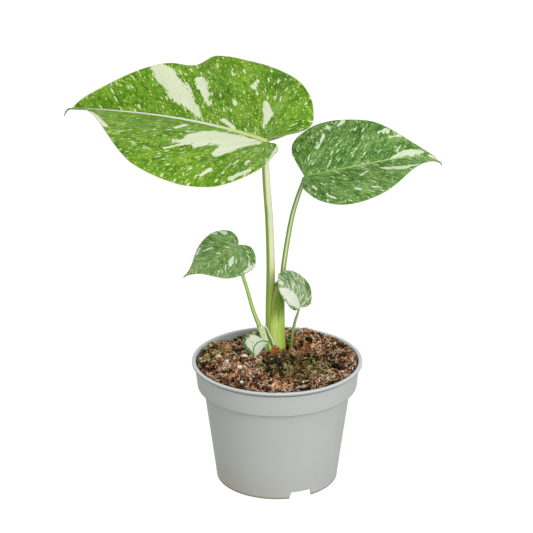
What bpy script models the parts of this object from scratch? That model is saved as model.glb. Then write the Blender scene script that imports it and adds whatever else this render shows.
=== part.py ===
"""Young variegated monstera in a round nursery pot.

Metres, +Z up.  The origin is on the pot's axis, at the floor.  The front of the plant faces -Y.
Every sub-part is one closed solid with its own name and its own material.
"""
import math

import bmesh
import bpy
import numpy as np

MM = 0.001
CLEAR = 0.3 * MM                 # gap kept between neighbouring solids
MERGE = 0.005 * MM               # points nearer than this are one point

# ---- pot ------------------------------------------------------------------------------------
POT_HEIGHT = 88.5 * MM
LIP_RADIUS = 60.0 * MM           # outside of the rolled lip
LIP_DEPTH = 2.0 * MM             # height of the lip's outer face
BAND_TOP_RADIUS = 57.9 * MM      # outside of the band, just under the lip
BAND_FOOT_RADIUS = 56.1 * MM
BAND_FOOT = 69.5 * MM            # height of the ledge under the band
BODY_TOP_RADIUS = 51.9 * MM
BODY_FOOT_RADIUS = 43.4 * MM
WALL = 0.9 * MM
SKIRT_WALL = 1.2 * MM
PANEL_HEIGHT = 5.6 * MM          # underside of the raised bottom panel
BOSS_RADIUS = 16.0 * MM          # flat middle of the bottom, which stands on the floor
POT_SIDES = 60
NOTCH_COUNT = 3
NOTCH_WIDTH = 17.0 * MM          # at the floor
NOTCH_TOP_WIDTH = 14.4 * MM
NOTCH_HEIGHT = 5.2 * MM
NOTCH_BEARING = 22.5             # degrees to the right of the front
DRAIN_COUNT = 6
DRAIN_RADIUS = 4.5 * MM
DRAIN_RING = 29.0 * MM

# ---- soil -----------------------------------------------------------------------------------
SOIL_LEVEL = 86.5 * MM           # level of the mix away from the plant
SOIL_RINGS = 9
# Rises and dips of the mix: (x, y), height and radius, all in mm.
SOIL_RELIEF = (((2.0, 21.0), -2.1, 15.0), ((-30.0, 46.0), -3.5, 22.0), ((16.0, 50.0), 2.0, 17.0),
               ((44.0, -13.0), -1.2, 8.0))
CLUMP = (2.0 * MM, 22.0 * MM)    # middle of the plant's foot
CROWN_HALF = (11.0 * MM, 7.0 * MM)
CROWN_TOP = 84.8 * MM
CROWN_FOOT = 64.0 * MM

# ---- leaves ---------------------------------------------------------------------------------
BLADE_THICKNESS = 0.6 * MM
LOBE_VEINS = 0.012               # veins that would start nearer the stalk than this start at it
TAIL_POINTS = 4
# A blade is drawn flat, in blade lengths, stalk at (0, 0) and tip at (1, 0), and then bent.
# lobe: how far each lobe reaches back behind the stalk, and lobe_out: where it is widest there.
# belly: where each half is widest along the midrib, and half: how wide it is there.
# tip: how the outline runs in to the tail.  square: how square the lobe's inner corner is.
# tail: length and half width of the narrow tail that the tip ends in, and hook: how far it
# bends down (degrees).  Pairs are (left half, right half), except in tip and tail.
# heading, climb, bow, nod and sway (degrees) steer the midrib; roll and twist turn the blade
# about it; fold and fold_gain lift each half; curl bends each half from midrib to margin.
# waves: heights (mm) of the margin's undulation at WAVE_PLACES along each half, sinus to tip.
# ripples: shorter waves, each (side, place, height in mm, width).
WAVE_PLACES = (0.12, 0.26, 0.40, 0.54, 0.67, 0.81, 0.95)
WAVE_WIDTH = 0.075
LEAVES = {
    "large": dict(
        foot=(-7.5, 20.0, 241.8), length=169.7,
        lobe=(0.138, 0.092), lobe_out=(0.122, 0.110), belly=(0.387, 0.271), half=(0.427, 0.372),
        tip=(0.025, -0.040), square=(0.73, 0.24), tail=(0.053, 0.004), hook=-62.9,
        heading=136.1, climb=3.5, bow=-6.3, nod=2.8, sway=34.7, roll=-26.5, twist=4.7,
        fold=(16.8, 5.5), fold_gain=(33.0, 17.3), curl=(-75.2, -26.3),
        waves=((3.1, 3.2, 2.1, -0.7, -0.3, -1.0, -0.2),
               (4.4, 2.8, -6.0, 2.7, 1.9, 3.9, 3.9)),
        ripples=((-1, 0.722, 4.7, 0.023), (-1, 0.747, -6.4, 0.023)),
        along=28, across=5),
    "right": dict(
        foot=(18.6, 15.0, 218.3), length=107.0,
        lobe=(0.023, 0.056), lobe_out=(0.195, 0.154), belly=(0.217, 0.161), half=(0.375, 0.379),
        tip=(0.433, 0.291), square=(0.00, 0.00), tail=(0.033, 0.005), hook=-31.7,
        heading=16.8, climb=5.0, bow=2.2, nod=-47.5, sway=5.3, roll=24.3, twist=9.0,
        fold=(14.2, 16.2), fold_gain=(16.4, 8.1), curl=(-47.6, -37.8),
        waves=((1.9, 0.1, -1.2, -0.3, 1.7, 2.7, -0.5),
               (0.1, -0.8, 1.1, 0.5, -1.0, -0.6, -0.8)),
        ripples=(),
        along=22, across=4),
    "left": dict(
        foot=(-27.0, 15.0, 168.0), length=52.7,
        lobe=(0.120, 0.087), lobe_out=(0.175, 0.179), belly=(0.186, 0.182), half=(0.397, 0.366),
        tip=(0.377, 0.295), square=(0.01, 0.02), tail=(0.077, 0.014), hook=1.0,
        heading=224.0, climb=-15.3, bow=12.6, nod=-18.8, sway=-2.4, roll=-30.9, twist=5.7,
        fold=(-1.8, 3.8), fold_gain=(-2.4, -8.3), curl=(-62.7, -39.2),
        waves=((0.4, 0.7, -1.1, -0.6, 2.8, 1.0, 1.2),
               (0.3, 0.1, -0.0, 0.6, 1.4, -1.6, 0.4)),
        ripples=(),
        along=18, across=4),
    "small": dict(
        foot=(16.0, 11.5, 122.8), length=29.3,
        lobe=(0.045, 0.040), lobe_out=(0.100, 0.150), belly=(0.377, 0.362), half=(0.359, 0.515),
        tip=(-0.056, 0.870), square=(0.00, 0.00), tail=(0.040, 0.016), hook=0.0,
        heading=203.0, climb=83.7, bow=-80.7, nod=2.4, sway=18.7, roll=-85.6, twist=6.1,
        fold=(34.3, 3.5), fold_gain=(-8.6, -13.3), curl=(-67.9, -53.5),
        waves=((0.2, 0.2, -0.6, -0.1, -0.2, 0.2, 0.4),
               (0.0, -0.6, 0.2, -0.2, 0.5, -0.6, -0.2)),
        ripples=(),
        along=16, across=4),
}
# The baby leaf that arches over and lies on the soil: midrib, margin away from the front
# and margin towards it, each from the stalk to the tip (mm).
CURLED_MIDRIB = ((-5.8, 15.0, 94.4), (-10.4, 12.4, 96.6), (-13.7, 10.5, 96.1), (-16.1, 8.1, 94.1),
                 (-16.6, 7.4, 91.0), (-15.5, 6.5, 87.6))
CURLED_FAR = ((-5.8, 15.0, 94.4), (-9.7, 16.0, 95.0), (-13.6, 16.9, 98.1), (-19.4, 16.0, 101.4),
              (-23.9, 13.1, 98.2), (-23.5, 9.7, 94.3), (-20.6, 7.6, 90.1), (-15.5, 6.5, 87.6))
CURLED_NEAR = ((-5.8, 15.0, 94.4), (-8.1, 13.2, 92.8), (-10.7, 10.5, 90.7), (-13.1, 7.3, 88.8),
               (-15.5, 6.5, 87.6))

# ---- stalks: points (mm) and radius (mm) at each --------------------------------------------
LARGE_STALK = (((-3.0, 23.4, 85.4), 2.9), ((-4.4, 23.2, 94.0), 3.1), ((-4.95, 23.0, 106.0), 3.15),
               ((-4.9, 22.6, 124.0), 3.15), ((-4.5, 22.1, 146.8), 3.05), ((-4.9, 21.7, 166.4), 2.9),
               ((-5.7, 21.3, 186.5), 2.8), ((-7.1, 20.8, 206.5), 2.7), ((-8.1, 20.5, 224.0), 2.5),
               ((-8.0, 20.7, 238.2), 1.9))
RIGHT_STALK = (((4.0, 23.5, 141.0), 2.0), ((4.7, 23.4, 150.0), 1.85), ((6.8, 21.7, 166.4), 1.8),
               ((10.2, 19.2, 187.3), 1.7), ((14.2, 17.0, 203.0), 1.6),
               ((17.3, 15.6, 212.5), 1.45), ((18.0, 15.1, 215.6), 1.3))
# The sheath at the foot of the right stalk: height, half opening angle covered, thickness of
# its back opposite the large stalk (mm, degrees, mm).
SHEATH = ((85.4, 85.0, 6.0), (92.0, 88.0, 6.9), (100.0, 88.0, 7.1), (106.0, 86.0, 7.1),
          (112.0, 80.0, 7.0), (118.0, 76.0, 6.9), (124.0, 72.0, 6.8), (130.0, 60.0, 6.7),
          (135.0, 46.0, 6.5))
SHEATH_EDGE = 0.7                # thickness of its two edges
LEFT_STALK = (((-6.2, 18.3, 85.4), 2.0), ((-7.1, 18.6, 90.9), 1.95), ((-8.3, 19.1, 94.6), 1.85),
              ((-10.9, 19.6, 100.3), 1.75), ((-13.3, 19.6, 107.3), 1.6), ((-17.0, 19.3, 117.6), 1.4),
              ((-20.8, 17.4, 133.0), 1.3), ((-23.9, 16.2, 144.3), 1.3),
              ((-26.0, 15.8, 155.0), 1.2), ((-27.2, 15.6, 164.6), 1.0))
SMALL_STALK = (((10.0, 22.0, 85.5), 1.2), ((10.4, 20.3, 94.0), 1.15), ((11.2, 18.3, 101.5), 1.1),
               ((12.7, 15.6, 110.2), 1.0), ((14.4, 13.2, 117.0), 0.9),
               ((15.5, 11.9, 121.0), 0.75))
CURLED_STALK = (((-2.6, 15.0, 85.5), 1.9), ((-4.0, 14.8, 88.8), 2.0), ((-5.2, 14.6, 91.2), 1.6),
                ((-5.6, 14.6, 92.5), 1.0))
SURFACE_ROOT = (((33.5, -17.5, 88.6), 0.35), ((34.6, -19.3, 89.2), 0.45),
                ((36.4, -22.2, 89.3), 0.45), ((39.2, -24.4, 88.8), 0.4))
# The dried sheath strip: points of its middle and its half width (mm).
DRY_SHEATH = (((-8.6, 20.0, 106.2), 0.3), ((-7.9, 19.7, 104.8), 0.4), ((-6.6, 18.4, 102.2), 0.45),
              ((-5.1, 17.7, 98.8), 0.55), ((-3.7, 17.2, 96.1), 0.6), ((-2.4, 17.0, 91.8), 0.8))
DRY_THICKNESS = 0.5

# ---- lumps on top of the mix: place (mm), half sizes (mm), bearing (degrees) ------------------
PERLITE = (
    ((-35.4, -5.0), (1.3, 2.4, 1.2), 15.0),
    ((-23.2, 4.0), (2.0, 2.2, 1.6), 40.0),
    ((-26.1, -13.9), (2.0, 1.9, 1.5), 0.0),
    ((-24.4, -40.1), (1.1, 2.3, 1.1), 10.0),
    ((-30.0, 3.1), (1.0, 1.1, 0.9), 0.0),
    ((-12.9, -23.3), (1.0, 0.9, 0.8), 0.0),
    ((-13.0, -41.8), (1.1, 1.2, 0.9), 20.0),
    ((17.5, -38.0), (0.9, 1.0, 0.9), 0.0),
)
BARK = (
    ((-2.6, 11.6), (2.6, 1.3, 1.3), 25.0),
    ((7.6, 12.4), (3.4, 1.2, 1.0), -20.0),
    ((-31.5, -11.3), (1.8, 1.2, 0.9), 35.0),
    ((20.5, 27.0), (4.4, 1.3, 1.0), 70.0),
    ((9.0, -35.0), (2.6, 1.2, 0.9), -50.0),
)

# ---- colours --------------------------------------------------------------------------------
LEAF_GREEN = (0.10, 0.26, 0.03)
DEEP_GREEN = (0.07, 0.18, 0.04)
PALE_GREEN = (0.42, 0.55, 0.22)
CREAM = (0.72, 0.76, 0.52)


def material(name, colour, roughness, metallic=0.0):
    """One Principled material with a plain colour."""
    made = bpy.data.materials.new(name)
    made.use_nodes = True
    shader = made.node_tree.nodes["Principled BSDF"]
    shader.inputs["Base Color"].default_value = (*colour, 1.0)
    shader.inputs["Roughness"].default_value = roughness
    shader.inputs["Metallic"].default_value = metallic
    made.diffuse_color = (*colour, 1.0)
    return made


def add_object(name, points, faces, finish, smooth=True):
    """Makes a named object from points and faces, merges doubled points and gives it its finish."""
    mesh = bpy.data.meshes.new(name)
    mesh.from_pydata([tuple(p) for p in points], [], [tuple(f) for f in faces])
    work = bmesh.new()
    work.from_mesh(mesh)
    bmesh.ops.remove_doubles(work, verts=work.verts, dist=MERGE)
    work.to_mesh(mesh)
    work.free()
    if smooth:
        mesh.shade_smooth()
    obj = bpy.data.objects.new(name, mesh)
    obj.data.materials.append(finish)
    bpy.context.scene.collection.objects.link(obj)
    return obj


def quads(rows, cols, closed):
    """Faces of a grid of rows by cols points; a closed grid joins its last column to its first."""
    faces = []
    for i in range(rows - 1):
        for j in range(cols if closed else cols - 1):
            k = (j + 1) % cols
            faces.append((i * cols + j, i * cols + k, (i + 1) * cols + k, (i + 1) * cols + j))
    return faces


def smooth_path(points, steps):
    """Catmull-Rom curve through the points, steps per span; any number of values per point."""
    pts = np.asarray(points, float)
    ends = np.vstack([2 * pts[0] - pts[1], pts, 2 * pts[-1] - pts[-2]])
    out = []
    for i in range(len(pts) - 1):
        a, b, c, d = ends[i:i + 4]
        t = np.linspace(0.0, 1.0, steps, endpoint=False)[:, None]
        out.append(0.5 * (2 * b + (c - a) * t + (2 * a - 5 * b + 4 * c - d) * t ** 2
                          + (3 * b - a - 3 * c + d) * t ** 3))
    return np.vstack([*out, pts[-1:]])


def lathe(name, profile, finish, sides):
    """Turns a profile (radius, height), top to bottom along its outside, with the Screw modifier."""
    mesh = bpy.data.meshes.new(name)
    mesh.from_pydata([(r, 0.0, z) for r, z in profile], [(i, i + 1) for i in range(len(profile) - 1)], [])
    obj = bpy.data.objects.new(name, mesh)
    obj.data.materials.append(finish)
    bpy.context.scene.collection.objects.link(obj)
    turn = obj.modifiers.new("turn", "SCREW")
    turn.steps = sides
    turn.render_steps = sides
    turn.use_merge_vertices = True
    turn.merge_threshold = MERGE
    turn.use_smooth_shade = True
    return obj


def cut(target, cutter):
    """Takes the cutter's shape out of the target."""
    cutter.hide_render = True
    cutter.display_type = "WIRE"
    boolean = target.modifiers.new("cut " + cutter.name, "BOOLEAN")
    boolean.operation = "DIFFERENCE"
    boolean.solver = "EXACT"
    boolean.object = cutter


def build_pot():
    """The pot: one thin moulded wall, turned, with notches in its skirt and drain holes."""
    finish = material("pot_plastic", (0.49, 0.52, 0.48), 0.45)
    inner_edge = BAND_TOP_RADIUS - WALL
    lip_foot = POT_HEIGHT - LIP_DEPTH
    panel_top = PANEL_HEIGHT + WALL
    body_slope = (BODY_TOP_RADIUS - BODY_FOOT_RADIUS) / BAND_FOOT
    at_panel = BODY_FOOT_RADIUS + body_slope * PANEL_HEIGHT
    ledge = 0.6 * MM
    boss_wall = 0.8 * MM
    profile = [
        (0.0, WALL),
        (BOSS_RADIUS - boss_wall, WALL),
        (BOSS_RADIUS - 0.2 * MM, panel_top),
        (at_panel - WALL - 0.4 * MM, panel_top),
        (at_panel - WALL + 0.1 * MM, panel_top + 0.5 * MM),
        (BODY_TOP_RADIUS - WALL, BAND_FOOT - ledge),
        (BODY_TOP_RADIUS - WALL + ledge, BAND_FOOT + ledge),
        (BAND_FOOT_RADIUS - WALL - ledge, BAND_FOOT + WALL + ledge),
        (BAND_FOOT_RADIUS - WALL, BAND_FOOT + WALL + 2.0 * ledge),
        (inner_edge, POT_HEIGHT - 1.2 * MM),
        (inner_edge + 0.4 * MM, POT_HEIGHT - 0.3 * MM),
        (inner_edge + 1.0 * MM, POT_HEIGHT),
        (LIP_RADIUS - 0.6 * MM, POT_HEIGHT),
        (LIP_RADIUS - 0.1 * MM, POT_HEIGHT - 0.4 * MM),
        (LIP_RADIUS, POT_HEIGHT - 1.0 * MM),
        (LIP_RADIUS - 0.1 * MM, lip_foot + 0.3 * MM),
        (LIP_RADIUS - 0.6 * MM, lip_foot),
        (BAND_TOP_RADIUS, lip_foot - 0.3 * MM),
        (BAND_FOOT_RADIUS + 0.2 * MM, BAND_FOOT + 1.4 * MM),
        (BAND_FOOT_RADIUS - 0.2 * MM, BAND_FOOT + 0.4 * MM),
        (BAND_FOOT_RADIUS - 1.0 * MM, BAND_FOOT),
        (BODY_TOP_RADIUS + 0.5 * MM, BAND_FOOT - 0.4 * MM),
        (BODY_TOP_RADIUS, BAND_FOOT - 1.2 * MM),
        (BODY_FOOT_RADIUS + body_slope * 2.0 * MM, 2.0 * MM),
        (BODY_FOOT_RADIUS - 0.1 * MM, 0.5 * MM),
        (BODY_FOOT_RADIUS - 0.5 * MM, 0.0),
        (BODY_FOOT_RADIUS - SKIRT_WALL, 0.0),
        (at_panel - SKIRT_WALL, PANEL_HEIGHT),
        (BOSS_RADIUS + 0.8 * MM, PANEL_HEIGHT),
        (BOSS_RADIUS + 0.2 * MM, 0.4 * MM),
        (BOSS_RADIUS - 0.2 * MM, 0.0),
        (0.0, 0.0),
    ]
    pot = lathe("pot", profile, finish, POT_SIDES)
    foot_width = 2.0 * NOTCH_WIDTH - NOTCH_TOP_WIDTH      # of the cutter, which starts under the floor
    taper = NOTCH_TOP_WIDTH / foot_width
    for i in range(NOTCH_COUNT):
        bearing = math.radians(-90.0 + NOTCH_BEARING + 360.0 * i / NOTCH_COUNT)
        bpy.ops.mesh.primitive_cube_add(size=1.0)
        notch = bpy.context.object
        notch.name = "notch_cutter_%d" % (i + 1)
        for corner in notch.data.vertices:
            if corner.co.z > 0.0:
                corner.co.y *= taper
        notch.scale = (8.0 * MM, foot_width, 2.0 * NOTCH_HEIGHT)
        notch.location = (BODY_FOOT_RADIUS * math.cos(bearing), BODY_FOOT_RADIUS * math.sin(bearing), 0.0)
        notch.rotation_euler = (0.0, 0.0, bearing)
        cut(pot, notch)
    for i in range(DRAIN_COUNT):
        bearing = 2.0 * math.pi * (i + 0.5) / DRAIN_COUNT
        bpy.ops.mesh.primitive_cylinder_add(vertices=14, radius=DRAIN_RADIUS, depth=6.0 * MM)
        drain = bpy.context.object
        drain.name = "drain_cutter_%d" % (i + 1)
        drain.location = (DRAIN_RING * math.cos(bearing), DRAIN_RING * math.sin(bearing), PANEL_HEIGHT)
        cut(pot, drain)
    return pot


def soil_height(x, y):
    """Level of the mix: a bumpy plane, with a bell-shaped rise or dip at each place of the relief."""
    level = SOIL_LEVEL + 0.4 * MM * np.sin(x / (5.3 * MM) + 1.0) * np.sin(y / (6.1 * MM) + 0.4)
    for (x0, y0), height, radius in SOIL_RELIEF:
        away = ((x - x0 * MM) ** 2 + (y - y0 * MM) ** 2) / (radius * MM) ** 2
        level = level + height * MM * np.exp(-away)
    return level


def build_soil(crown_cutter):
    """The mix: a turned plug that fills the pot, with a bumpy top and a socket for the crown."""
    finish = material("potting_mix", (0.16, 0.09, 0.045), 0.95)
    body_slope = (BODY_TOP_RADIUS - BODY_FOOT_RADIUS) / BAND_FOOT
    foot = PANEL_HEIGHT + WALL + CLEAR
    inside = WALL + CLEAR
    side = [
        (BODY_FOOT_RADIUS + body_slope * foot - inside - 1.0 * MM, foot),
        (BODY_FOOT_RADIUS + body_slope * (foot + 2.0 * MM) - inside - 0.2 * MM, foot + 2.0 * MM),
        (BODY_TOP_RADIUS - inside - 0.1 * MM, BAND_FOOT - 1.0 * MM),
        (BODY_TOP_RADIUS - inside + 0.2 * MM, BAND_FOOT + 1.2 * MM),
        (BAND_FOOT_RADIUS - inside - 0.9 * MM, BAND_FOOT + 2.2 * MM),
    ]
    sides = POT_SIDES
    turn = np.arange(sides) * 2.0 * np.pi / sides
    rim = BAND_TOP_RADIUS - inside - 0.6 * MM
    rings = [np.stack([r * np.cos(turn), r * np.sin(turn), np.full(sides, z)], -1) for r, z in side]
    for i in range(SOIL_RINGS):
        r = rim * (1.0 - i / SOIL_RINGS)
        x, y = r * np.cos(turn), r * np.sin(turn)
        rings.append(np.stack([x, y, soil_height(x, y)], -1))
    points = np.vstack(rings)
    top = len(points)
    middle = [(0.0, 0.0, foot), (0.0, 0.0, float(soil_height(0.0, 0.0)))]
    faces = quads(len(rings), sides, True)
    last = (len(rings) - 1) * sides
    for j in range(sides):
        k = (j + 1) % sides
        faces.append((k, j, top))
        faces.append((last + j, last + k, top + 1))
    soil = add_object("soil", [*points, *middle], faces, finish)
    cut(soil, crown_cutter)
    return soil


def crown_shape(name, grow, finish):
    """The short stem: an oval knob with a flat top and a rounded foot, enlarged by grow."""
    heights = (0.0, 0.12, 0.45, 0.85, 1.0)
    widths = (0.45, 0.75, 1.0, 0.97, 0.88)
    sides = 20
    turn = np.arange(sides) * 2.0 * np.pi / sides
    foot, top = CROWN_FOOT - grow, CROWN_TOP + (20.0 * MM if grow else 0.0)
    rings = []
    for h, w in zip(heights, widths):
        level = foot + (CROWN_TOP - foot) * h if h < 1.0 else top
        x = CLUMP[0] + (CROWN_HALF[0] * w + grow) * np.cos(turn)
        y = CLUMP[1] + (CROWN_HALF[1] * w + grow) * np.sin(turn)
        rings.append(np.stack([x, y, np.full(sides, level)], -1))
    faces = quads(len(rings), sides, True)
    last = (len(rings) - 1) * sides
    faces.append(tuple(range(sides))[::-1])
    faces.append(tuple(last + j for j in range(sides)))
    return add_object(name, np.vstack(rings), faces, finish)


def half_outline(lobe, lobe_out, belly, half, tip_pull, tip_width, square, tail, count):
    """Half of a heart-shaped outline, sinus to tip: three Bezier spans of equal count and a tail.

    A square lobe runs further back along the midrib's line before it turns outward.  The tail
    narrows evenly to nothing.
    """
    def span(a, b, c, d):
        t = np.linspace(0.0, 1.0, count)[:, None]
        s = 1.0 - t
        a, b, c, d = (np.array(p) for p in (a, b, c, d))
        return s ** 3 * a + 3 * s * s * t * b + 3 * s * t * t * c + t ** 3 * d
    end = 1.0 - tail[0]
    back = span((0.0, 0.0), (-(0.35 + 0.35 * square) * lobe, 0.15 * (1.0 - square) * lobe_out),
                (-lobe, (0.45 - 0.35 * square) * lobe_out), (-lobe, lobe_out))
    flank = span((-lobe, lobe_out), (-lobe, lobe_out + 0.58 * (half - lobe_out)),
                 (belly - 0.55 * (belly + lobe), half), (belly, half))
    point = span((belly, half), (belly + 0.5 * (end - belly), half),
                 (end - tip_pull * (end - belly), tip_width * half), (end, tail[1]))
    along = np.linspace(0.0, 1.0, TAIL_POINTS)[1:, None]
    narrow = np.hstack([end + tail[0] * along, tail[1] * (1.0 - along)])
    return np.vstack([back, flank[1:], point[1:], narrow])


def bend_blade(leaf, x, y):
    """Carries flat blade points (in blade lengths) into space, in metres.

    The midrib is the running sum of its direction, which climbs, bows, nods at the tip, hooks
    in the tail and sways.  Across it each half is an arc that starts at the fold angle and
    turns with curl.
    """
    deg = math.pi / 180.0
    s = np.linspace(-0.4, 1.05, 291)
    ahead = np.clip(s, 0.0, None)
    hooked = np.clip((s - 1.0 + leaf["tail"][0]) / (0.6 * leaf["tail"][0]), 0.0, 1.0)
    climb = deg * (leaf["climb"] + leaf["bow"] * ahead + leaf["nod"] * ahead ** 5 + leaf["hook"] * hooked)
    heading = deg * (leaf["heading"] + leaf["sway"] * s)
    along = np.stack([np.cos(climb) * np.cos(heading), np.cos(climb) * np.sin(heading), np.sin(climb)], -1)
    steps = 0.5 * (along[1:] + along[:-1]) * np.diff(s)[:, None] * leaf["length"]
    rib = np.vstack([np.zeros(3), np.cumsum(steps, axis=0)])
    rib -= rib[np.argmin(np.abs(s))]
    centre = np.stack([np.interp(x, s, rib[:, k]) for k in range(3)], -1)
    t = np.stack([np.interp(x, s, along[:, k]) for k in range(3)], -1)
    t /= np.linalg.norm(t, axis=-1, keepdims=True)
    level = np.cross((0.0, 0.0, 1.0), t)
    level /= np.linalg.norm(level, axis=-1, keepdims=True)
    up = np.cross(t, level)
    roll = (deg * (leaf["roll"] + leaf["twist"] * x))[..., None]
    out = np.cos(roll) * level + np.sin(roll) * up
    normal = np.cos(roll) * up - np.sin(roll) * level
    left = y >= 0.0
    fold = deg * np.where(left, leaf["fold"][0] + leaf["fold_gain"][0] * x,
                          leaf["fold"][1] + leaf["fold_gain"][1] * x)
    curl = deg * np.where(left, leaf["curl"][0], leaf["curl"][1])
    reach = np.abs(y)
    lateral = (np.sin(fold + curl * reach) - np.sin(fold)) / curl * leaf["length"]
    rise = -(np.cos(fold + curl * reach) - np.cos(fold)) / curl * leaf["length"]
    side = np.where(left, 1.0, -1.0)
    placed = centre + (side * lateral)[..., None] * out + rise[..., None] * normal
    return (placed + np.array(leaf["foot"])) * MM, normal


def blade_grid(leaf):
    """Points of the bent blade: rows from sinus to tip, columns from left margin to right margin.

    Each row starts on the midrib and runs out to the margin as a straight vein; rows of the
    lobes all start at the stalk.
    """
    count = leaf["along"] // 3 + 1
    sides = [half_outline(leaf["lobe"][k], leaf["lobe_out"][k], leaf["belly"][k], leaf["half"][k],
                          *leaf["tip"], leaf["square"][k], leaf["tail"], count) for k in (0, 1)]
    mean = 0.5 * (sides[0] + sides[1])
    lead = mean[:, 0] - 0.84 * mean[:, 1]
    start = np.clip(0.5 * (lead + np.sqrt(lead ** 2 + 0.0004)) - 0.01, 0.0, None)
    start = np.maximum.accumulate(start)
    start = np.where(start < LOBE_VEINS, 0.0, start / start[-1])
    place = np.clip(np.arange(len(start)) / (3.0 * (count - 1)), 0.0, 1.0)
    calm = (1.0 - np.exp(-(place / 0.05) ** 2)) * (1.0 - np.exp(-((1.0 - place) / 0.05) ** 2))
    columns = []
    for k, sign in ((0, 1.0), (1, -1.0)):
        for j in range(leaf["across"] + 1):
            t = j / leaf["across"]
            x = start * (1.0 - t) + sides[k][:, 0] * t
            y = sign * np.maximum(sides[k][:, 1] * t, 1e-9)
            points, normal = bend_blade(leaf, x, y)
            waves = [(where, height, WAVE_WIDTH) for where, height in zip(WAVE_PLACES, leaf["waves"][k])]
            waves += [ripple[1:] for ripple in leaf["ripples"] if ripple[0] == sign]
            wave = sum(height * MM * np.exp(-((place - where) / width) ** 2)
                       for where, height, width in waves)
            wave = wave * calm
            columns.append((points + (wave * t * t)[:, None] * normal, normal))
    left = columns[:leaf["across"] + 1][::-1]
    right = columns[leaf["across"] + 2:]
    grid, normals = zip(*left, *right)
    return np.stack(grid, axis=1)[1:], np.stack(normals, axis=1)[1:]


def blade(name, leaf, finish):
    """A closed leaf blade: an upper and a lower skin either side of the grid, joined at the margin."""
    grid, normals = blade_grid(leaf)
    rows, cols = grid.shape[:2]
    half = 0.5 * BLADE_THICKNESS * normals
    points = np.concatenate([(grid + half).reshape(-1, 3), (grid - half).reshape(-1, 3)])
    under = rows * cols
    upper = []
    for a, b, c, d in quads(rows, cols, False):
        upper += [(a, b, c), (a, c, d)]
    faces = list(upper)
    faces += [tuple(under + corner for corner in face[::-1]) for face in upper]
    rim = [(j + 1, j) for j in range(cols - 1)]
    for i in range(rows - 1):
        rim += [(i * cols, (i + 1) * cols), ((i + 2) * cols - 1, (i + 1) * cols - 1)]
    faces += [(a, b, under + b, under + a) for a, b in rim]
    return add_object(name, points, faces, finish)


def sheet(name, grid, thickness, finish):
    """A thin closed leaf from a grid of points, thickened evenly about its middle."""
    rows, cols = grid.shape[:2]
    obj = add_object(name, grid.reshape(-1, 3), quads(rows, cols, False), finish)
    solid = obj.modifiers.new("thickness", "SOLIDIFY")
    solid.thickness = thickness
    solid.offset = 0.0
    solid.use_even_offset = False
    return obj


def tube(name, route, finish, sides=10, steps=2):
    """A tapering round stalk through the route's points, with closed ends and a level foot."""
    path = smooth_path([(*p, r) for p, r in route], steps) * MM
    centre, radius = path[:, :3], path[:, 3]
    along = np.gradient(centre, axis=0)
    along /= np.linalg.norm(along, axis=1, keepdims=True)
    across = np.cross(along, (0.0, 1.0, 0.0))
    across /= np.linalg.norm(across, axis=1, keepdims=True)
    third = np.cross(along, across)
    turn = np.arange(sides) * 2.0 * np.pi / sides
    ring = (np.cos(turn)[None, :, None] * across[:, None, :]
            + np.sin(turn)[None, :, None] * third[:, None, :])
    points = centre[:, None, :] + radius[:, None, None] * ring
    points[0, :, 2] = centre[0, 2]
    faces = quads(len(path), sides, True)
    faces.append(tuple(range(sides))[::-1])
    faces.append(tuple((len(path) - 1) * sides + j for j in range(sides)))
    return add_object(name, points.reshape(-1, 3), faces, finish)


def build_right_stalk(finish):
    """The right stalk and its sheath in one piece.

    Each section is a ring of points.  In the sheath it is a C that opens to the left around the
    large stalk: out along an outer arc and back along an inner one.  Above, it is a circle.
    """
    outer, inner = 12, 8
    stalk = smooth_path([(*p, r) for p, r in LARGE_STALK], 8)
    clasp = smooth_path(SHEATH, 2)
    rings = []
    for height, cover, back in clasp:
        x, y, r = (np.interp(height, stalk[:, 2], stalk[:, k]) for k in (0, 1, 3))
        hole = r + 0.45
        sweep = np.radians(np.concatenate([np.linspace(-cover, cover, outer),
                                           np.linspace(cover, -cover, inner)]))
        wall = SHEATH_EDGE + (back - SHEATH_EDGE) * np.clip(np.cos(sweep), 0.0, None) ** 1.5
        reach = np.concatenate([(hole + wall)[:outer], np.full(inner, hole)])
        squash = np.where(np.arange(outer + inner) < outer, 0.93, 1.0)
        rings.append(np.stack([x + reach * np.cos(sweep), y + reach * np.sin(sweep) * squash,
                               np.full(outer + inner, height)], -1))
    path = smooth_path([(*p, r) for p, r in RIGHT_STALK], 2)
    along = np.gradient(path[:, :3], axis=0)
    along /= np.linalg.norm(along, axis=1, keepdims=True)
    back_turn = np.radians(np.concatenate([np.linspace(-110.0, 110.0, outer),
                                           np.linspace(132.0, 228.0, inner)]))
    for (x, y, z, r), t in zip(path, along):
        across = np.cross((0.0, 1.0, 0.0), t)
        across /= np.linalg.norm(across)
        third = np.cross(t, across)
        ring = np.cos(back_turn)[:, None] * across + np.sin(back_turn)[:, None] * third
        rings.append(np.array((x, y, z)) + r * ring)
    sides = outer + inner
    faces = quads(len(rings), sides, True)
    faces.append(tuple(range(sides))[::-1])
    faces.append(tuple((len(rings) - 1) * sides + j for j in range(sides)))
    return add_object("stalk_right", np.vstack(rings) * MM, faces, finish)


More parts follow.
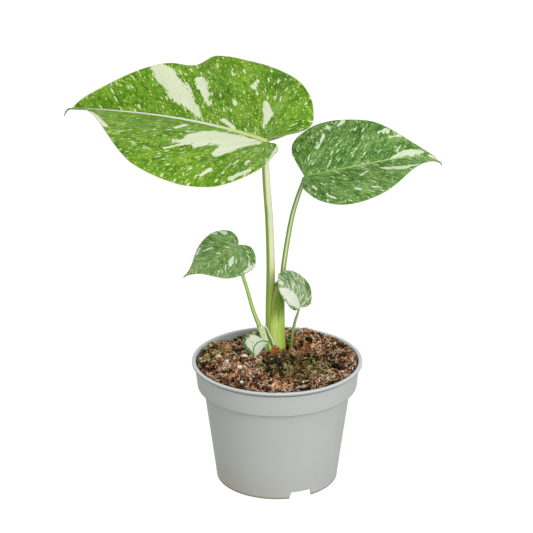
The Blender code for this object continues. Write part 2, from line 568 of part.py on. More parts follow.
def build_curled_blade(finish):
    """The arched baby leaf: a sheet through its far margin, midrib and near margin."""
    rows = np.linspace(0.0, 1.0, 13)

    def resample(points):
        path = smooth_path(points, 10)
        run = np.concatenate([[0.0], np.cumsum(np.linalg.norm(np.diff(path, axis=0), axis=1))])
        return np.stack([np.interp(rows * run[-1], run, path[:, k]) for k in range(3)], -1)
    far, rib, near = (resample(p) for p in (CURLED_FAR, CURLED_MIDRIB, CURLED_NEAR))
    columns = [far + (rib - far) * t for t in (0.0, 0.25, 0.5, 0.75, 1.0)]
    columns += [rib + (near - rib) * t for t in (1.0 / 3.0, 2.0 / 3.0, 1.0)]
    return sheet("blade_curled", np.stack(columns, axis=1) * MM, BLADE_THICKNESS, finish)


def build_dry_sheath(finish):
    """A papery strip that stands beside the clump, curved across its width."""
    path = smooth_path([(*p, w) for p, w in DRY_SHEATH], 2)
    columns = []
    for t in (-1.0, -0.33, 0.33, 1.0):
        shift = np.stack([t * path[:, 3], 0.5 * t * t * path[:, 3], 0.35 * t * path[:, 3]], -1)
        columns.append(path[:, :3] + shift)
    return sheet("dry_sheath", np.stack(columns, axis=1) * MM, DRY_THICKNESS * MM, finish)


def build_lump(name, place, half, bearing, seed, detail, finish):
    """A small irregular lump that rests just clear of the mix."""
    bpy.ops.mesh.primitive_ico_sphere_add(subdivisions=detail, radius=1.0)
    lump = bpy.context.object
    lump.name = name
    rng = np.random.default_rng(seed)
    turn = math.radians(bearing)
    x0, y0 = place[0] * MM, place[1] * MM
    points = np.array([v.co for v in lump.data.vertices])
    points *= 1.0 + rng.uniform(-0.16, 0.16, len(points))[:, None]
    points *= np.array(half) * MM
    points = np.stack([points[:, 0] * math.cos(turn) - points[:, 1] * math.sin(turn),
                       points[:, 0] * math.sin(turn) + points[:, 1] * math.cos(turn),
                       points[:, 2]], -1)
    ground = soil_height(x0 + points[:, 0], y0 + points[:, 1])
    lift = np.max(ground - points[:, 2]) + 2.0 * CLEAR
    points += np.array((x0, y0, lift))
    for vertex, co in zip(lump.data.vertices, points):
        vertex.co = co
    lump.data.shade_smooth()
    lump.data.materials.append(finish)
    return lump


def build():
    for obj in list(bpy.data.objects):
        bpy.data.objects.remove(obj, do_unlink=True)
    build_pot()
    stem_finish = material("stem", PALE_GREEN, 0.5)
    crown_cutter = crown_shape("crown_cutter", CLEAR, stem_finish)
    crown_shape("crown", 0.0, stem_finish)
    build_soil(crown_cutter)
    for name, colour in (("large", LEAF_GREEN), ("right", DEEP_GREEN),
                         ("left", DEEP_GREEN), ("small", DEEP_GREEN)):
        finish = material("leaf_" + name, colour, 0.35)
        blade("blade_" + name, LEAVES[name], finish)
    build_curled_blade(material("leaf_curled", CREAM, 0.4))
    tube("stalk_large", LARGE_STALK, material("stalk_large", PALE_GREEN, 0.4), sides=12)
    build_right_stalk(material("stalk_right", PALE_GREEN, 0.4))
    tube("stalk_left", LEFT_STALK, material("stalk_left", LEAF_GREEN, 0.4))
    tube("stalk_small", SMALL_STALK, material("stalk_small", DEEP_GREEN, 0.4), sides=8)
    tube("stalk_curled", CURLED_STALK, material("stalk_curled", PALE_GREEN, 0.4), sides=8)
    tube("surface_root", SURFACE_ROOT, material("root", (0.55, 0.45, 0.28), 0.7), sides=6)
    build_dry_sheath(material("dry_sheath", (0.80, 0.80, 0.72), 0.7))
    perlite = material("perlite", (0.85, 0.84, 0.80), 0.8)
    for i, (place, half, bearing) in enumerate(PERLITE):
        build_lump("perlite_%d" % (i + 1), place, half, bearing, 11 + i, 2, perlite)
    bark = material("bark", (0.42, 0.20, 0.08), 0.85)
    for i, (place, half, bearing) in enumerate(BARK):
        build_lump("bark_%d" % (i + 1), place, half, bearing, 31 + i, 1, bark)


build()
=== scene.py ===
"""Young variegated monstera in a round nursery pot: surfaces and finishes.  Metres, +Z up."""
import math

import bmesh
import bpy
import numpy as np
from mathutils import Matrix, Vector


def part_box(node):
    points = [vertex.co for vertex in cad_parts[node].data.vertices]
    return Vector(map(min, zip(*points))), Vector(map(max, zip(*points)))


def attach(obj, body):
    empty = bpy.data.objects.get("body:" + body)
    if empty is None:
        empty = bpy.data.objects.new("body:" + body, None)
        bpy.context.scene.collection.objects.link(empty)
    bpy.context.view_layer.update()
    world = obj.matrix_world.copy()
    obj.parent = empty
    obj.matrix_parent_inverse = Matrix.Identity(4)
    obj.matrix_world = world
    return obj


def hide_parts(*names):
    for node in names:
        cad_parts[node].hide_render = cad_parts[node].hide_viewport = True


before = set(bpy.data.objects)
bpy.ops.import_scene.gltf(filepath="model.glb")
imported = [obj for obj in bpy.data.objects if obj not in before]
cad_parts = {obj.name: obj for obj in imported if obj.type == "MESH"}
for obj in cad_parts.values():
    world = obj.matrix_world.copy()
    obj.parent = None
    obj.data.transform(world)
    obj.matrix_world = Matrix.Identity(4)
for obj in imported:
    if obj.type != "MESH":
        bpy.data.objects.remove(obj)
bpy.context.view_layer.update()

MM = 0.001

# ---- studio ---------------------------------------------------------------------------------
# The plant stands on a bright white floor in soft light.  A wide lamp stands at the front right,
# so the left side is darker; a weak one hangs overhead and another stands behind.
scene = bpy.context.scene
scene.view_settings.view_transform = "Standard"
CAMERA_PLACE = (-0.00746, -1.21619, 0.61697)
CAMERA_DOWN = 20.686             # degrees below level
CAMERA_LENS = 127.15             # mm
LAMPS = (                        # place, size (m), power (W)
    ((0.66, -1.30, 0.72), 1.3, 12.0),
    ((0.40, -0.20, 1.35), 1.0, 3.0),
    ((-0.70, 1.20, 0.90), 1.0, 5.0),
)
LAMPS_AIM = (0.0, 0.0, 0.13)
AMBIENT = 0.45                   # of the white surroundings, as they light the plant
SEEN_WHITE = 1.05                # of the same surroundings, as the camera sees them
FLOOR_HALF = 6.0                 # m
FLOOR_SHADE = 0.14
FLOOR_GLOW = 0.45

camera_data = bpy.data.cameras.new("camera")
camera_data.lens = CAMERA_LENS
camera_data.sensor_width = 36.0
camera = bpy.data.objects.new("camera", camera_data)
camera.location = CAMERA_PLACE
camera.rotation_euler = (math.radians(90.0 - CAMERA_DOWN), 0.0, 0.0)
scene.collection.objects.link(camera)
scene.camera = camera
for number, (place, size, power) in enumerate(LAMPS):
    lamp_data = bpy.data.lights.new("lamp_%d" % (number + 1), "AREA")
    lamp_data.shape = "DISK"
    lamp_data.size = size
    lamp_data.energy = power
    lamp = bpy.data.objects.new("lamp_%d" % (number + 1), lamp_data)
    lamp.location = place
    reach = np.array(LAMPS_AIM) - np.array(place)
    lamp.rotation_euler = (math.atan2(math.hypot(reach[0], reach[1]), -reach[2]), 0.0,
                           math.atan2(reach[1], reach[0]) - math.pi / 2.0)
    scene.collection.objects.link(lamp)


def add_node(tree, kind, settings=None, **inputs):
    """Adds one shader node.  Each named input takes a value or another node's output; a name
    of the form n0, n1, ... means the input of that number."""
    made = tree.nodes.new("ShaderNode" + kind)
    for key, value in (settings or {}).items():
        setattr(made, key, value)
    for key, value in inputs.items():
        plug = made.inputs[int(key[1:])] if key[1:].isdigit() else made.inputs[key]
        if isinstance(value, bpy.types.NodeSocket):
            tree.links.new(value, plug)
        else:
            plug.default_value = value
    return made


def fade(tree, value, low, high, start=0.0, end=1.0):
    """Runs smoothly from start to end as value goes from low to high."""
    step = add_node(tree, "MapRange", {"interpolation_type": "SMOOTHSTEP"}, Value=value)
    for key, amount in zip(("From Min", "From Max", "To Min", "To Max"), (low, high, start, end)):
        step.inputs[key].default_value = amount
    return step.outputs[0]


def new_finish(name, roughness, specular=0.5):
    """A Principled material; gives the material, its tree and its shader."""
    made = bpy.data.materials.new(name)
    made.use_nodes = True
    shader = made.node_tree.nodes["Principled BSDF"]
    shader.inputs["Roughness"].default_value = roughness
    shader.inputs["Specular IOR Level"].default_value = specular
    return made, made.node_tree, shader


floor_mesh = bpy.data.meshes.new("floor")
floor_mesh.from_pydata([(x * FLOOR_HALF, y * FLOOR_HALF, 0.0) for x, y in
                        ((-1, -1), (1, -1), (1, 1), (-1, 1))], [], [(0, 1, 2, 3)])
floor = bpy.data.objects.new("floor", floor_mesh)
scene.collection.objects.link(floor)
floor_finish, tree, shader = new_finish("pale_floor", 0.9, 0.1)
shader.inputs["Base Color"].default_value = (FLOOR_SHADE, FLOOR_SHADE, FLOOR_SHADE, 1.0)
shader.inputs["Emission Color"].default_value = (1.0, 1.0, 1.0, 1.0)
seen = add_node(tree, "LightPath").outputs["Is Camera Ray"]
tree.links.new(fade(tree, seen, 0.0, 1.0, FLOOR_GLOW, 1.0), shader.inputs["Emission Strength"])
floor_mesh.materials.append(floor_finish)

world = bpy.data.worlds.new("daylight")
scene.world = world
world.use_nodes = True
tree = world.node_tree
seen = add_node(tree, "LightPath").outputs["Is Camera Ray"]
sky = tree.nodes["Background"]
sky.inputs["Color"].default_value = (1.0, 1.0, 1.0, 1.0)
tree.links.new(fade(tree, seen, 0.0, 1.0, AMBIENT, SEEN_WHITE), sky.inputs["Strength"])

# ---- pot ------------------------------------------------------------------------------------
# A thin injection-moulded nursery pot of grey-green recycled plastic: a tapering body, a wider
# band above a ledge, and a rolled lip.  Three notches in the foot and six holes let water out.
POT_HEIGHT = 88.5 * MM
LIP_RADIUS = 60.0 * MM
BAND_TOP_RADIUS = 57.9 * MM
BAND_FOOT_RADIUS = 56.1 * MM
BAND_FOOT = 69.5 * MM
BODY_TOP_RADIUS = 51.9 * MM
BODY_FOOT_RADIUS = 43.4 * MM
POT_WALL = 0.9 * MM
SKIRT_WALL = 1.2 * MM
PANEL_HEIGHT = 5.6 * MM          # of the raised base over the floor
BOSS_RADIUS = 16.0 * MM          # of the round boss in its middle, which reaches the floor
NOTCH_WIDTH = 17.0 * MM          # at the floor
NOTCH_TOP_WIDTH = 14.4 * MM
NOTCH_HEIGHT = 5.2 * MM
NOTCH_BEARINGS = tuple(math.radians(-67.5 + 120.0 * i) for i in range(3))
DRAIN_RADIUS = 4.5 * MM
DRAIN_RING = 29.0 * MM
DRAIN_COUNT = 6
DRILL_SIDES = 28
POT_SIDES = 240
LONG_RUN = 1.2 * MM              # straight runs of the profile longer than this get two more points,
RUN_INSET = 0.22 * MM            # this far inside their ends
NOTCH_EASE = 0.003               # radians; the notch's corners are rounded off within this


def calc(tree, operation, a, b=0.0):
    """One sum on two numbers; gives its output."""
    return add_node(tree, "Math", {"operation": operation}, n0=a, n1=b).outputs[0]


def times(tree, a, b):
    """One number times another; gives its output."""
    return calc(tree, "MULTIPLY", a, b)


def plus(tree, a, b):
    """One number plus another; gives its output."""
    return calc(tree, "ADD", a, b)


def attribute(tree, name):
    """A named number that the mesh carries at each of its points."""
    return add_node(tree, "Attribute", {"attribute_name": name}).outputs["Fac"]


def object_place(tree):
    """The place on the piece, in metres, in the piece's own axes."""
    return add_node(tree, "TexCoord").outputs["Object"]


def vector_calc(tree, operation, a, b, c=(0.0, 0.0, 0.0)):
    """One sum on two or three vectors; gives its output."""
    return add_node(tree, "VectorMath", {"operation": operation}, n0=a, n1=b, n2=c).outputs[0]


def paint(red, green, blue):
    """A colour as mixed on a display, 0 to 255 a channel, turned into light."""
    shade = np.array((red, green, blue)) / 255.0
    light = np.where(shade <= 0.04045, shade / 12.92, ((shade + 0.055) / 1.055) ** 2.4)
    return (*(float(channel) for channel in light), 1.0)


def tint(tree, amount, under, over, mode="MIX"):
    """Lays colour over on colour under by amount; gives the colour output."""
    made = add_node(tree, "Mix", {"data_type": "RGBA", "blend_type": mode}, n0=amount, n6=under, n7=over)
    return made.outputs[2]


def noise(tree, place, size, detail=2.0, roughness=0.5, stretch=(1.0, 1.0, 1.0)):
    """Smooth random mottling, 0 to 1, whose patches are about size across; stretch widens them."""
    spread = vector_calc(tree, "MULTIPLY", place, tuple(1.0 / (size * s) for s in stretch))
    return add_node(tree, "TexNoise", Vector=spread, Scale=1.0, Detail=detail,
                    Roughness=roughness).outputs[0]


def coat(tree, shader, colour, height=None, depth=0.0, strength=1.0):
    """Gives the shader's surface its colour, and bumps it by height times depth (m)."""
    tree.links.new(colour, shader.inputs["Base Color"])
    if height:
        bump = add_node(tree, "Bump", Height=height, Distance=depth, Strength=strength)
        tree.links.new(bump.outputs[0], shader.inputs["Normal"])


def grid_faces(rows, cols, wrap=False):
    """Four-cornered faces of a grid of points; wrap joins the last column to the first."""
    i = np.arange(rows - 1)[:, None]
    j = np.arange(cols if wrap else cols - 1)[None, :]
    k = (j + 1) % cols
    corners = np.broadcast_arrays(i * cols + j, i * cols + k, (i + 1) * cols + k, (i + 1) * cols + j)
    return np.stack(corners, axis=-1).reshape(-1, 4)


def make_piece(name, points, faces, finish, slot, replaced=(), values=None, weld=0.004 * MM, veins=None):
    """A smooth closed piece from points and faces that rides on the plant's one body.  values
    are named numbers, one a point.  Points closer than weld are joined and faces turned outwards.
    veins, if given, is a UV map, one pair a face corner; such faces already look outwards."""
    mesh = bpy.data.meshes.new(name)
    mesh.from_pydata(np.asarray(points).tolist(), [], [f for part in faces for f in part.tolist()])
    if veins is not None:
        mesh.uv_layers.new(name="veins").data.foreach_set("uv", veins.ravel())
    for key, amounts in (values or {}).items():
        mesh.attributes.new(key, "FLOAT", "POINT").data.foreach_set("value", np.ravel(amounts))
    work = bmesh.new()
    work.from_mesh(mesh)
    if weld:
        bmesh.ops.remove_doubles(work, verts=work.verts, dist=weld)
    if veins is None:
        bmesh.ops.recalc_face_normals(work, faces=work.faces)
    work.to_mesh(mesh)
    work.free()
    mesh.shade_smooth()
    mesh.materials.append(finish)
    made = bpy.data.objects.new(name, mesh)
    scene.collection.objects.link(made)
    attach(made, "root")
    if replaced:
        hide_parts(*replaced)
    return made


def rounded(profile, steps):
    """Replaces each corner (radius, height, rounding) by a curve of steps points that starts
    and ends the rounding away from the corner, a quadratic Bezier through the corner.  A long
    straight run gets one more point just inside each end, which keeps its shading flat."""
    corners = np.array(profile, float)
    out = []
    for k, (r, z, soft) in enumerate(corners):
        if k in (0, len(corners) - 1) or soft == 0.0:
            out.append([(r, z)])
            continue
        here = np.array((r, z))
        before, after = corners[k - 1, :2] - here, corners[k + 1, :2] - here
        soft_before = min(soft, 0.49 * np.hypot(*before)) / np.hypot(*before)
        soft_after = min(soft, 0.49 * np.hypot(*after)) / np.hypot(*after)
        t = np.linspace(0.0, 1.0, steps)[:, None]
        out.append(here + before * soft_before * (1 - t) ** 2 + after * soft_after * t ** 2)
    out = np.vstack(out)
    run = np.hypot(*np.diff(out, axis=0).T)
    long = np.flatnonzero(run > LONG_RUN)
    way = (out[long + 1] - out[long]) * (RUN_INSET / run[long])[:, None]
    added = np.stack([out[long] + way, out[long + 1] - way], 1).reshape(-1, 2)
    return np.insert(out, np.repeat(long + 1, 2), added, axis=0)


body_slope = (BODY_TOP_RADIUS - BODY_FOOT_RADIUS) / BAND_FOOT
panel_reach = BODY_FOOT_RADIUS + body_slope * PANEL_HEIGHT
panel_top = PANEL_HEIGHT + POT_WALL
pot_profile = rounded((
    (0.0, POT_WALL, 0),
    (BOSS_RADIUS - 0.7 * MM, POT_WALL, 0.5 * MM),
    (BOSS_RADIUS - 0.3 * MM, panel_top, 0.6 * MM),
    (panel_reach - POT_WALL, panel_top, 0.8 * MM),
    (BODY_TOP_RADIUS - POT_WALL, BAND_FOOT, 0.8 * MM),
    (BAND_FOOT_RADIUS - POT_WALL, BAND_FOOT + 1.7 * MM, 0.9 * MM),
    (BAND_TOP_RADIUS - POT_WALL, POT_HEIGHT - 1.0 * MM, 0.5 * MM),
    (BAND_TOP_RADIUS - POT_WALL + 0.6 * MM, POT_HEIGHT, 0.5 * MM),
    (LIP_RADIUS - 0.1 * MM, POT_HEIGHT, 0.8 * MM),
    (LIP_RADIUS, POT_HEIGHT - 1.9 * MM, 0.5 * MM),
    (BAND_TOP_RADIUS, POT_HEIGHT - 2.3 * MM, 0.35 * MM),
    (BAND_FOOT_RADIUS + 0.1 * MM, BAND_FOOT, 0.9 * MM),
    (BODY_TOP_RADIUS, BAND_FOOT - 0.5 * MM, 0.6 * MM),
    (BODY_FOOT_RADIUS + 0.1 * MM, 4.2 * MM, 1.0 * MM),
    (BODY_FOOT_RADIUS - 0.3 * MM, 0.0, 0.5 * MM),
    (BODY_FOOT_RADIUS - SKIRT_WALL, 0.0, 0.2 * MM),
    (panel_reach - SKIRT_WALL, PANEL_HEIGHT, 0.5 * MM),
    (BOSS_RADIUS + 0.6 * MM, PANEL_HEIGHT, 0.8 * MM),
    (BOSS_RADIUS + 0.2 * MM, 0.0, 0.4 * MM),
    (0.0, 0.0, 0),
), 6)
notch_foot, notch_top = (math.asin(0.5 * width / BODY_FOOT_RADIUS)
                         for width in (NOTCH_WIDTH, NOTCH_TOP_WIDTH))
notch_edges = [b + s * half for b in NOTCH_BEARINGS for s in (-1, 1)
               for half in (notch_top - NOTCH_EASE, notch_top, notch_foot, notch_foot + NOTCH_EASE)]
notch_edges = (np.array(notch_edges) + np.pi) % (2.0 * np.pi) - np.pi
turn = np.sort(np.concatenate([np.arange(POT_SIDES) * 2.0 * np.pi / POT_SIDES - np.pi, notch_edges]))
turn = turn[np.diff(turn, append=turn[0] + 2.0 * np.pi) > 0.0012]
radius, height = pot_profile[:, 0:1], pot_profile[:, 1:2]
from_notch = np.min([np.abs((turn - b + np.pi) % (2 * np.pi) - np.pi) for b in NOTCH_BEARINGS], axis=0)
notch_level = NOTCH_HEIGHT * np.clip((notch_foot - from_notch) / (notch_foot - notch_top), 0.0, 1.0)
floor_level = np.where(radius > panel_reach - 2.5 * MM, notch_level[None, :], 0.0)
raised = np.maximum(height, floor_level)
pot_points = np.stack([radius * np.cos(turn), radius * np.sin(turn), raised], axis=-1)
pot_points[..., :2] *= 1.0 + (raised - height)[..., None] * body_slope / BODY_FOOT_RADIUS

inner_side = np.arange(len(pot_profile)) < np.argmax(pot_profile[:, 1] > POT_HEIGHT - 0.3 * MM)
inner_side = np.repeat(inner_side[:, None], len(turn), axis=1).astype(float)

pot_finish, tree, shader = new_finish("pot_plastic", 0.42, 0.35)
place = object_place(tree)
across, level = (add_node(tree, "SeparateXYZ", Vector=place).outputs[k] for k in (0, 2))
inner = attribute(tree, "inner")
cloudy = noise(tree, place, 26 * MM, 4.0, 0.6)
streaks = noise(tree, place, 5 * MM, 4.0, 0.6, (1.0, 1.0, 9.0))
plain = tint(tree, cloudy, paint(198, 203, 197), paint(190, 195, 189))
plain = tint(tree, times(tree, streaks, 0.35), plain, paint(203, 207, 202))
# The lower body turns darker and browner towards the foot, most of all at the left.
foot = times(tree, fade(tree, level, 0.030, 0.0), fade(tree, across, 0.03, -0.03, 0.25, 1.0))
plain = tint(tree, times(tree, foot, 0.55), plain, paint(184, 178, 164))
# Painted highlight: the band grows lighter and bluer towards its top.
band_highlight = fade(tree, level, 0.0695, 0.078)
plain = tint(tree, times(tree, band_highlight, 0.4), plain, paint(202, 208, 206))
# Painted highlight: a light line along the top of the lip, on its outside only.
lip_highlight = times(tree, fade(tree, level, 0.0873, 0.0877), fade(tree, inner, 0.6, 0.0))
plain = tint(tree, times(tree, lip_highlight, 0.6), plain, paint(232, 240, 243))
# Painted shade: the outer face of the lip, below its top, is darkened.
lip_face_shade = times(tree, fade(tree, level, 0.0858, 0.0862), fade(tree, level, 0.0881, 0.0876))
plain = tint(tree, times(tree, lip_face_shade, 0.6), plain, paint(146, 153, 150))
# Painted shadow: two dark lines, one on the body just under the band's ledge and one just under the lip.
for dark, low, high in ((0.85, 0.0686, 0.0696), (0.95, 0.0853, 0.0862)):
    groove = times(tree, fade(tree, level, low - 0.0006, low), fade(tree, level, high + 0.0006, high))
    plain = tint(tree, times(tree, groove, dark), plain, paint(104, 108, 102))
edge_dirt = fade(tree, plus(tree, level, times(tree, cloudy, 0.001)), 0.0026, 0.0010)
plain = tint(tree, times(tree, edge_dirt, 0.7), plain, paint(124, 102, 76))
spots = add_node(tree, "TexVoronoi", Vector=vector_calc(tree, "MULTIPLY", place, (152.0,) * 3), Scale=1.0)
spot_size = add_node(tree, "SeparateColor", Color=spots.outputs["Color"]).outputs[0]
specks = fade(tree, calc(tree, "SUBTRACT", times(tree, calc(tree, "POWER", spot_size, 7.0), 0.13),
                         spots.outputs["Distance"]), -0.02, 0.03)
near_lip = fade(tree, level, 0.066, 0.084, 0.15, 1.0)
to_left = fade(tree, across, 0.01, -0.045, 0.25, 1.0)
specks = times(tree, specks, times(tree, near_lip, to_left))
plain = tint(tree, times(tree, specks, 0.75), plain, paint(120, 92, 66))
scuff = noise(tree, place, 1.3 * MM, 3.0, 0.7, (8.0, 8.0, 0.8))
scuffed = times(tree, fade(tree, scuff, 0.66, 0.8), fade(tree, cloudy, 0.5, 0.7))
plain = tint(tree, times(tree, scuffed, 0.35), plain, paint(214, 217, 211))
# Painted light: the inside of the wall takes its own bluer grey, set apart from the outside's for the light
# that falls inside.
plain = tint(tree, inner, plain, tint(tree, streaks, paint(200, 207, 208), paint(180, 188, 189)))
tree.links.new(fade(tree, cloudy, 0.3, 0.75, 0.38, 0.52), shader.inputs["Roughness"])
grainy = noise(tree, place, 0.5 * MM, 2.0, 0.5)
coat(tree, shader, plain, plus(tree, grainy, times(tree, cloudy, 6.0)), 0.00004)

pot = make_piece("pot_shell", pot_points.reshape(-1, 3), [grid_faces(len(pot_profile), len(turn), True)],
                 pot_finish, "pot_plastic", ("pot",), {"inner": inner_side})
drill_turn = np.arange(DRILL_SIDES) * 2.0 * np.pi / DRILL_SIDES
drill_points, drill_faces = [], []
for i in range(DRAIN_COUNT):
    first = 2 * DRILL_SIDES * i
    bearing = 2.0 * math.pi * (i + 0.5) / DRAIN_COUNT
    for level in (PANEL_HEIGHT - 3 * MM, PANEL_HEIGHT + 4 * MM):
        drill_points.append(np.stack([DRAIN_RING * math.cos(bearing) + DRAIN_RADIUS * np.cos(drill_turn),
                                      DRAIN_RING * math.sin(bearing) + DRAIN_RADIUS * np.sin(drill_turn),
                                      np.full(DRILL_SIDES, level)], axis=-1))
    drill_faces += [f.tolist() for f in grid_faces(2, DRILL_SIDES, True) + first]
    drill_faces += [(first + np.arange(DRILL_SIDES))[::-1].tolist(),
                    (first + DRILL_SIDES + np.arange(DRILL_SIDES)).tolist()]
drill_mesh = bpy.data.meshes.new("drill")
drill_mesh.from_pydata(np.vstack(drill_points).tolist(), [], drill_faces)
drill = bpy.data.objects.new("drill", drill_mesh)
scene.collection.objects.link(drill)
holes = pot.modifiers.new("drain holes", "BOOLEAN")
holes.operation = "DIFFERENCE"
holes.solver = "EXACT"
holes.object = drill
drilled = bpy.data.meshes.new_from_object(pot.evaluated_get(bpy.context.evaluated_depsgraph_get()))
pot.modifiers.clear()
pot.data = drilled
bpy.data.objects.remove(drill, do_unlink=True)

# ---- potting mix ----------------------------------------------------------------------------
# Loose peat, coir and bark that fills the pot to just under the lip.  Its top is flakes and fibres of
# brown, a damp olive patch of moss in front of the plant, and orange fibres behind it.
SOIL_LEVEL = 86.4 * MM
SOIL_RADIUS = 56.2 * MM
SOIL_FOOT = PANEL_HEIGHT + POT_WALL + 0.3 * MM
CLUMP = (2.0, 22.0)              # the middle of the plant's foot, in mm
CLUMP_HALF = (8.0, 5.0)          # its half sizes, in mm
WALL_BAND = 2.6 * MM             # more lumps lie within this of the wall
# Rises and dips of the mix: (x, y), height and radius, all in mm.
RELIEF = (((2.0, 20.0), -0.7, 13.0), ((-30.0, 46.0), -3.3, 22.0), ((20.0, 44.0), 2.2, 15.0),
          ((44.0, -12.5), -3.2, 4.5), ((33.0, 20.0), 1.0, 9.0), ((-8.0, -2.0), -1.0, 7.0),
          ((52.0, 8.0), 1.3, 20.0))
ROUGHNESS = ((7.0, 0.7), (3.6, 1.2), (1.9, 0.8), (0.9, 0.3))     # bumps: size and height, in mm
LATTICE = 128
# Patches of the mix: (x, y), half sizes across and deep in mm, and the colour that tints each; the dark one
# at (44, -12) is painted shade in the hollow there.
PATCHES = (((12, -12), (27, 21), (190, 200, 158)), ((-46, 14), (13, 17), (238, 255, 214)),
           ((3, 2), (14, 9), (158, 150, 140)), ((44, -12), (6, 6), (110, 104, 100)),
           ((18, 26), (9, 13), (255, 226, 190)))


def swing(tree, value, amount):
    """Turns mottling of 0 to 1 into a push either way: (value - 0.5) * amount."""
    return times(tree, calc(tree, "SUBTRACT", value, 0.5), amount)


def ramp(tree, value, *stops):
    """A colour that runs through the stops, each a place from 0 to 1 and a display colour, as
    value goes from 0 to 1."""
    made = add_node(tree, "ValToRGB", Fac=value)
    bar = made.color_ramp
    while len(bar.elements) < len(stops):
        bar.elements.new(0.5)
    for element, (place, *channels) in zip(bar.elements, stops):
        element.position = place
        element.color = paint(*channels)
    return made.outputs[0]


def bumps(x, y, size, seed):
    """Smooth random bumps from -1 to 1: random heights on a square lattice, eased in between."""
    lattice = np.random.default_rng(seed).uniform(-1.0, 1.0, (LATTICE, LATTICE))
    u, v = x / size + LATTICE / 2, y / size + LATTICE / 2
    i, j = np.floor(u).astype(int), np.floor(v).astype(int)
    s, t = u - i, v - j
    s, t = s * s * (3.0 - 2.0 * s), t * t * (3.0 - 2.0 * t)
    i, j, k, m = i % LATTICE, j % LATTICE, (i + 1) % LATTICE, (j + 1) % LATTICE
    return ((lattice[i, j] * (1 - s) + lattice[k, j] * s) * (1 - t)
            + (lattice[i, m] * (1 - s) + lattice[k, m] * s) * t)


def soil_level(x, y):
    """Height of the mix: level, with a bell-shaped rise or dip at each place of the relief and
    bumps of four sizes on top."""
    level = SOIL_LEVEL + sum(height * MM * np.exp(-np.hypot(x / MM - x0, y / MM - y0) ** 2 / radius ** 2)
                             for (x0, y0), height, radius in RELIEF)
    rough = MM * sum(height * bumps(x, y, size * MM, seed + 1)
                     for seed, (size, height) in enumerate(ROUGHNESS))
    return level - 0.6 * MM + rough * np.clip((SOIL_RADIUS - np.hypot(x, y)) / (3.0 * MM) + 0.35, 0.0, 1.0)


def zone(tree, place, x, y, across, deep):
    """A soft-edged ragged oval on the mix, 1 in its middle: (x, y) and half sizes in mm.  The
    wander that frays its edge is 10 mm on average, so the oval is set that much further on."""
    wander = add_node(tree, "TexNoise", Vector=place, Scale=160.0, Detail=3.0).outputs["Color"]
    place = vector_calc(tree, "MULTIPLY_ADD", wander, (0.02, 0.02, 0.0), place)
    off = vector_calc(tree, "MULTIPLY_ADD", place, (1000.0 / across, 1000.0 / deep, 0.0),
                      (-(x + 10.0) / across, -(y + 10.0) / deep, 0.0))
    away = add_node(tree, "VectorMath", {"operation": "LENGTH"}, n0=off).outputs["Value"]
    return fade(tree, away, 1.15, 0.7)


def soil_finish(name, zoned, *stops):
    """Earthy finish: each piece's tone, shifted by mottling, picks its colour from the ramp; a crumb's tone
    is its own, the bed's is painted shade, darker in its hollows.
    zoned is how much the patches of the mix tint it."""
    made, tree, shader = new_finish(name, 0.75, 0.22)
    place = object_place(tree)
    tone = attribute(tree, "tone")
    patchy = noise(tree, place, 9 * MM, 2.0)
    fine = noise(tree, place, 0.8 * MM, 3.0, 0.7)
    shift = plus(tree, swing(tree, patchy, 0.35), swing(tree, fine, 0.7))
    colour = ramp(tree, plus(tree, tone, shift), *stops)
    mauve = times(tree, fade(tree, patchy, 0.42, 0.6), zoned)
    colour = tint(tree, mauve, colour, paint(236, 214, 214), "MULTIPLY")
    for centre, half, shade in PATCHES:
        within = times(tree, zone(tree, place, *centre, *half), zoned)
        colour = tint(tree, within, colour, paint(*shade), "MULTIPLY")
    coat(tree, shader, colour, fine, 0.0003)
    return made


bed_finish = soil_finish("potting_mix", 0.8, (0.0, 10, 6, 3), (0.4, 36, 22, 12),
                         (0.65, 84, 56, 36), (0.85, 142, 104, 72), (1.0, 196, 156, 118))
BED_RINGS, BED_SIDES = 113, 448
rings = np.linspace(0.0, SOIL_RADIUS, BED_RINGS)
sweep = np.arange(BED_SIDES) * 2.0 * np.pi / BED_SIDES
x, y = rings[:, None] * np.cos(sweep), rings[:, None] * np.sin(sweep)
top_level = soil_level(x, y)
top_level[0] = top_level[0].mean()
lower = ((SOIL_RADIUS - 0.3 * MM, 80.0 * MM), (SOIL_RADIUS - 1.8 * MM, BAND_FOOT + 2.8 * MM),
         (BODY_TOP_RADIUS - 1.3 * MM, BAND_FOOT), (BODY_FOOT_RADIUS - 0.6 * MM, SOIL_FOOT), (0.0, SOIL_FOOT))
skirt = [np.stack([r * np.cos(sweep), r * np.sin(sweep), np.full(BED_SIDES, z)], axis=-1) for r, z in lower]
bed_points = np.concatenate([np.stack([x, y, top_level], axis=-1), skirt])
# Painted shade: the bed's tone is darker in its hollows and lighter on its rises, and low on the buried
# rings below the top.
bed_shaded_tone = np.concatenate([0.40 + 0.20 * (top_level - SOIL_LEVEL) / MM,
                           np.full((len(lower), BED_SIDES), 0.3)])
make_piece("potting_mix", bed_points.reshape(-1, 3), [grid_faces(len(bed_points), BED_SIDES, True)],
           bed_finish, "potting_mix", ("soil",), {"tone": bed_shaded_tone})

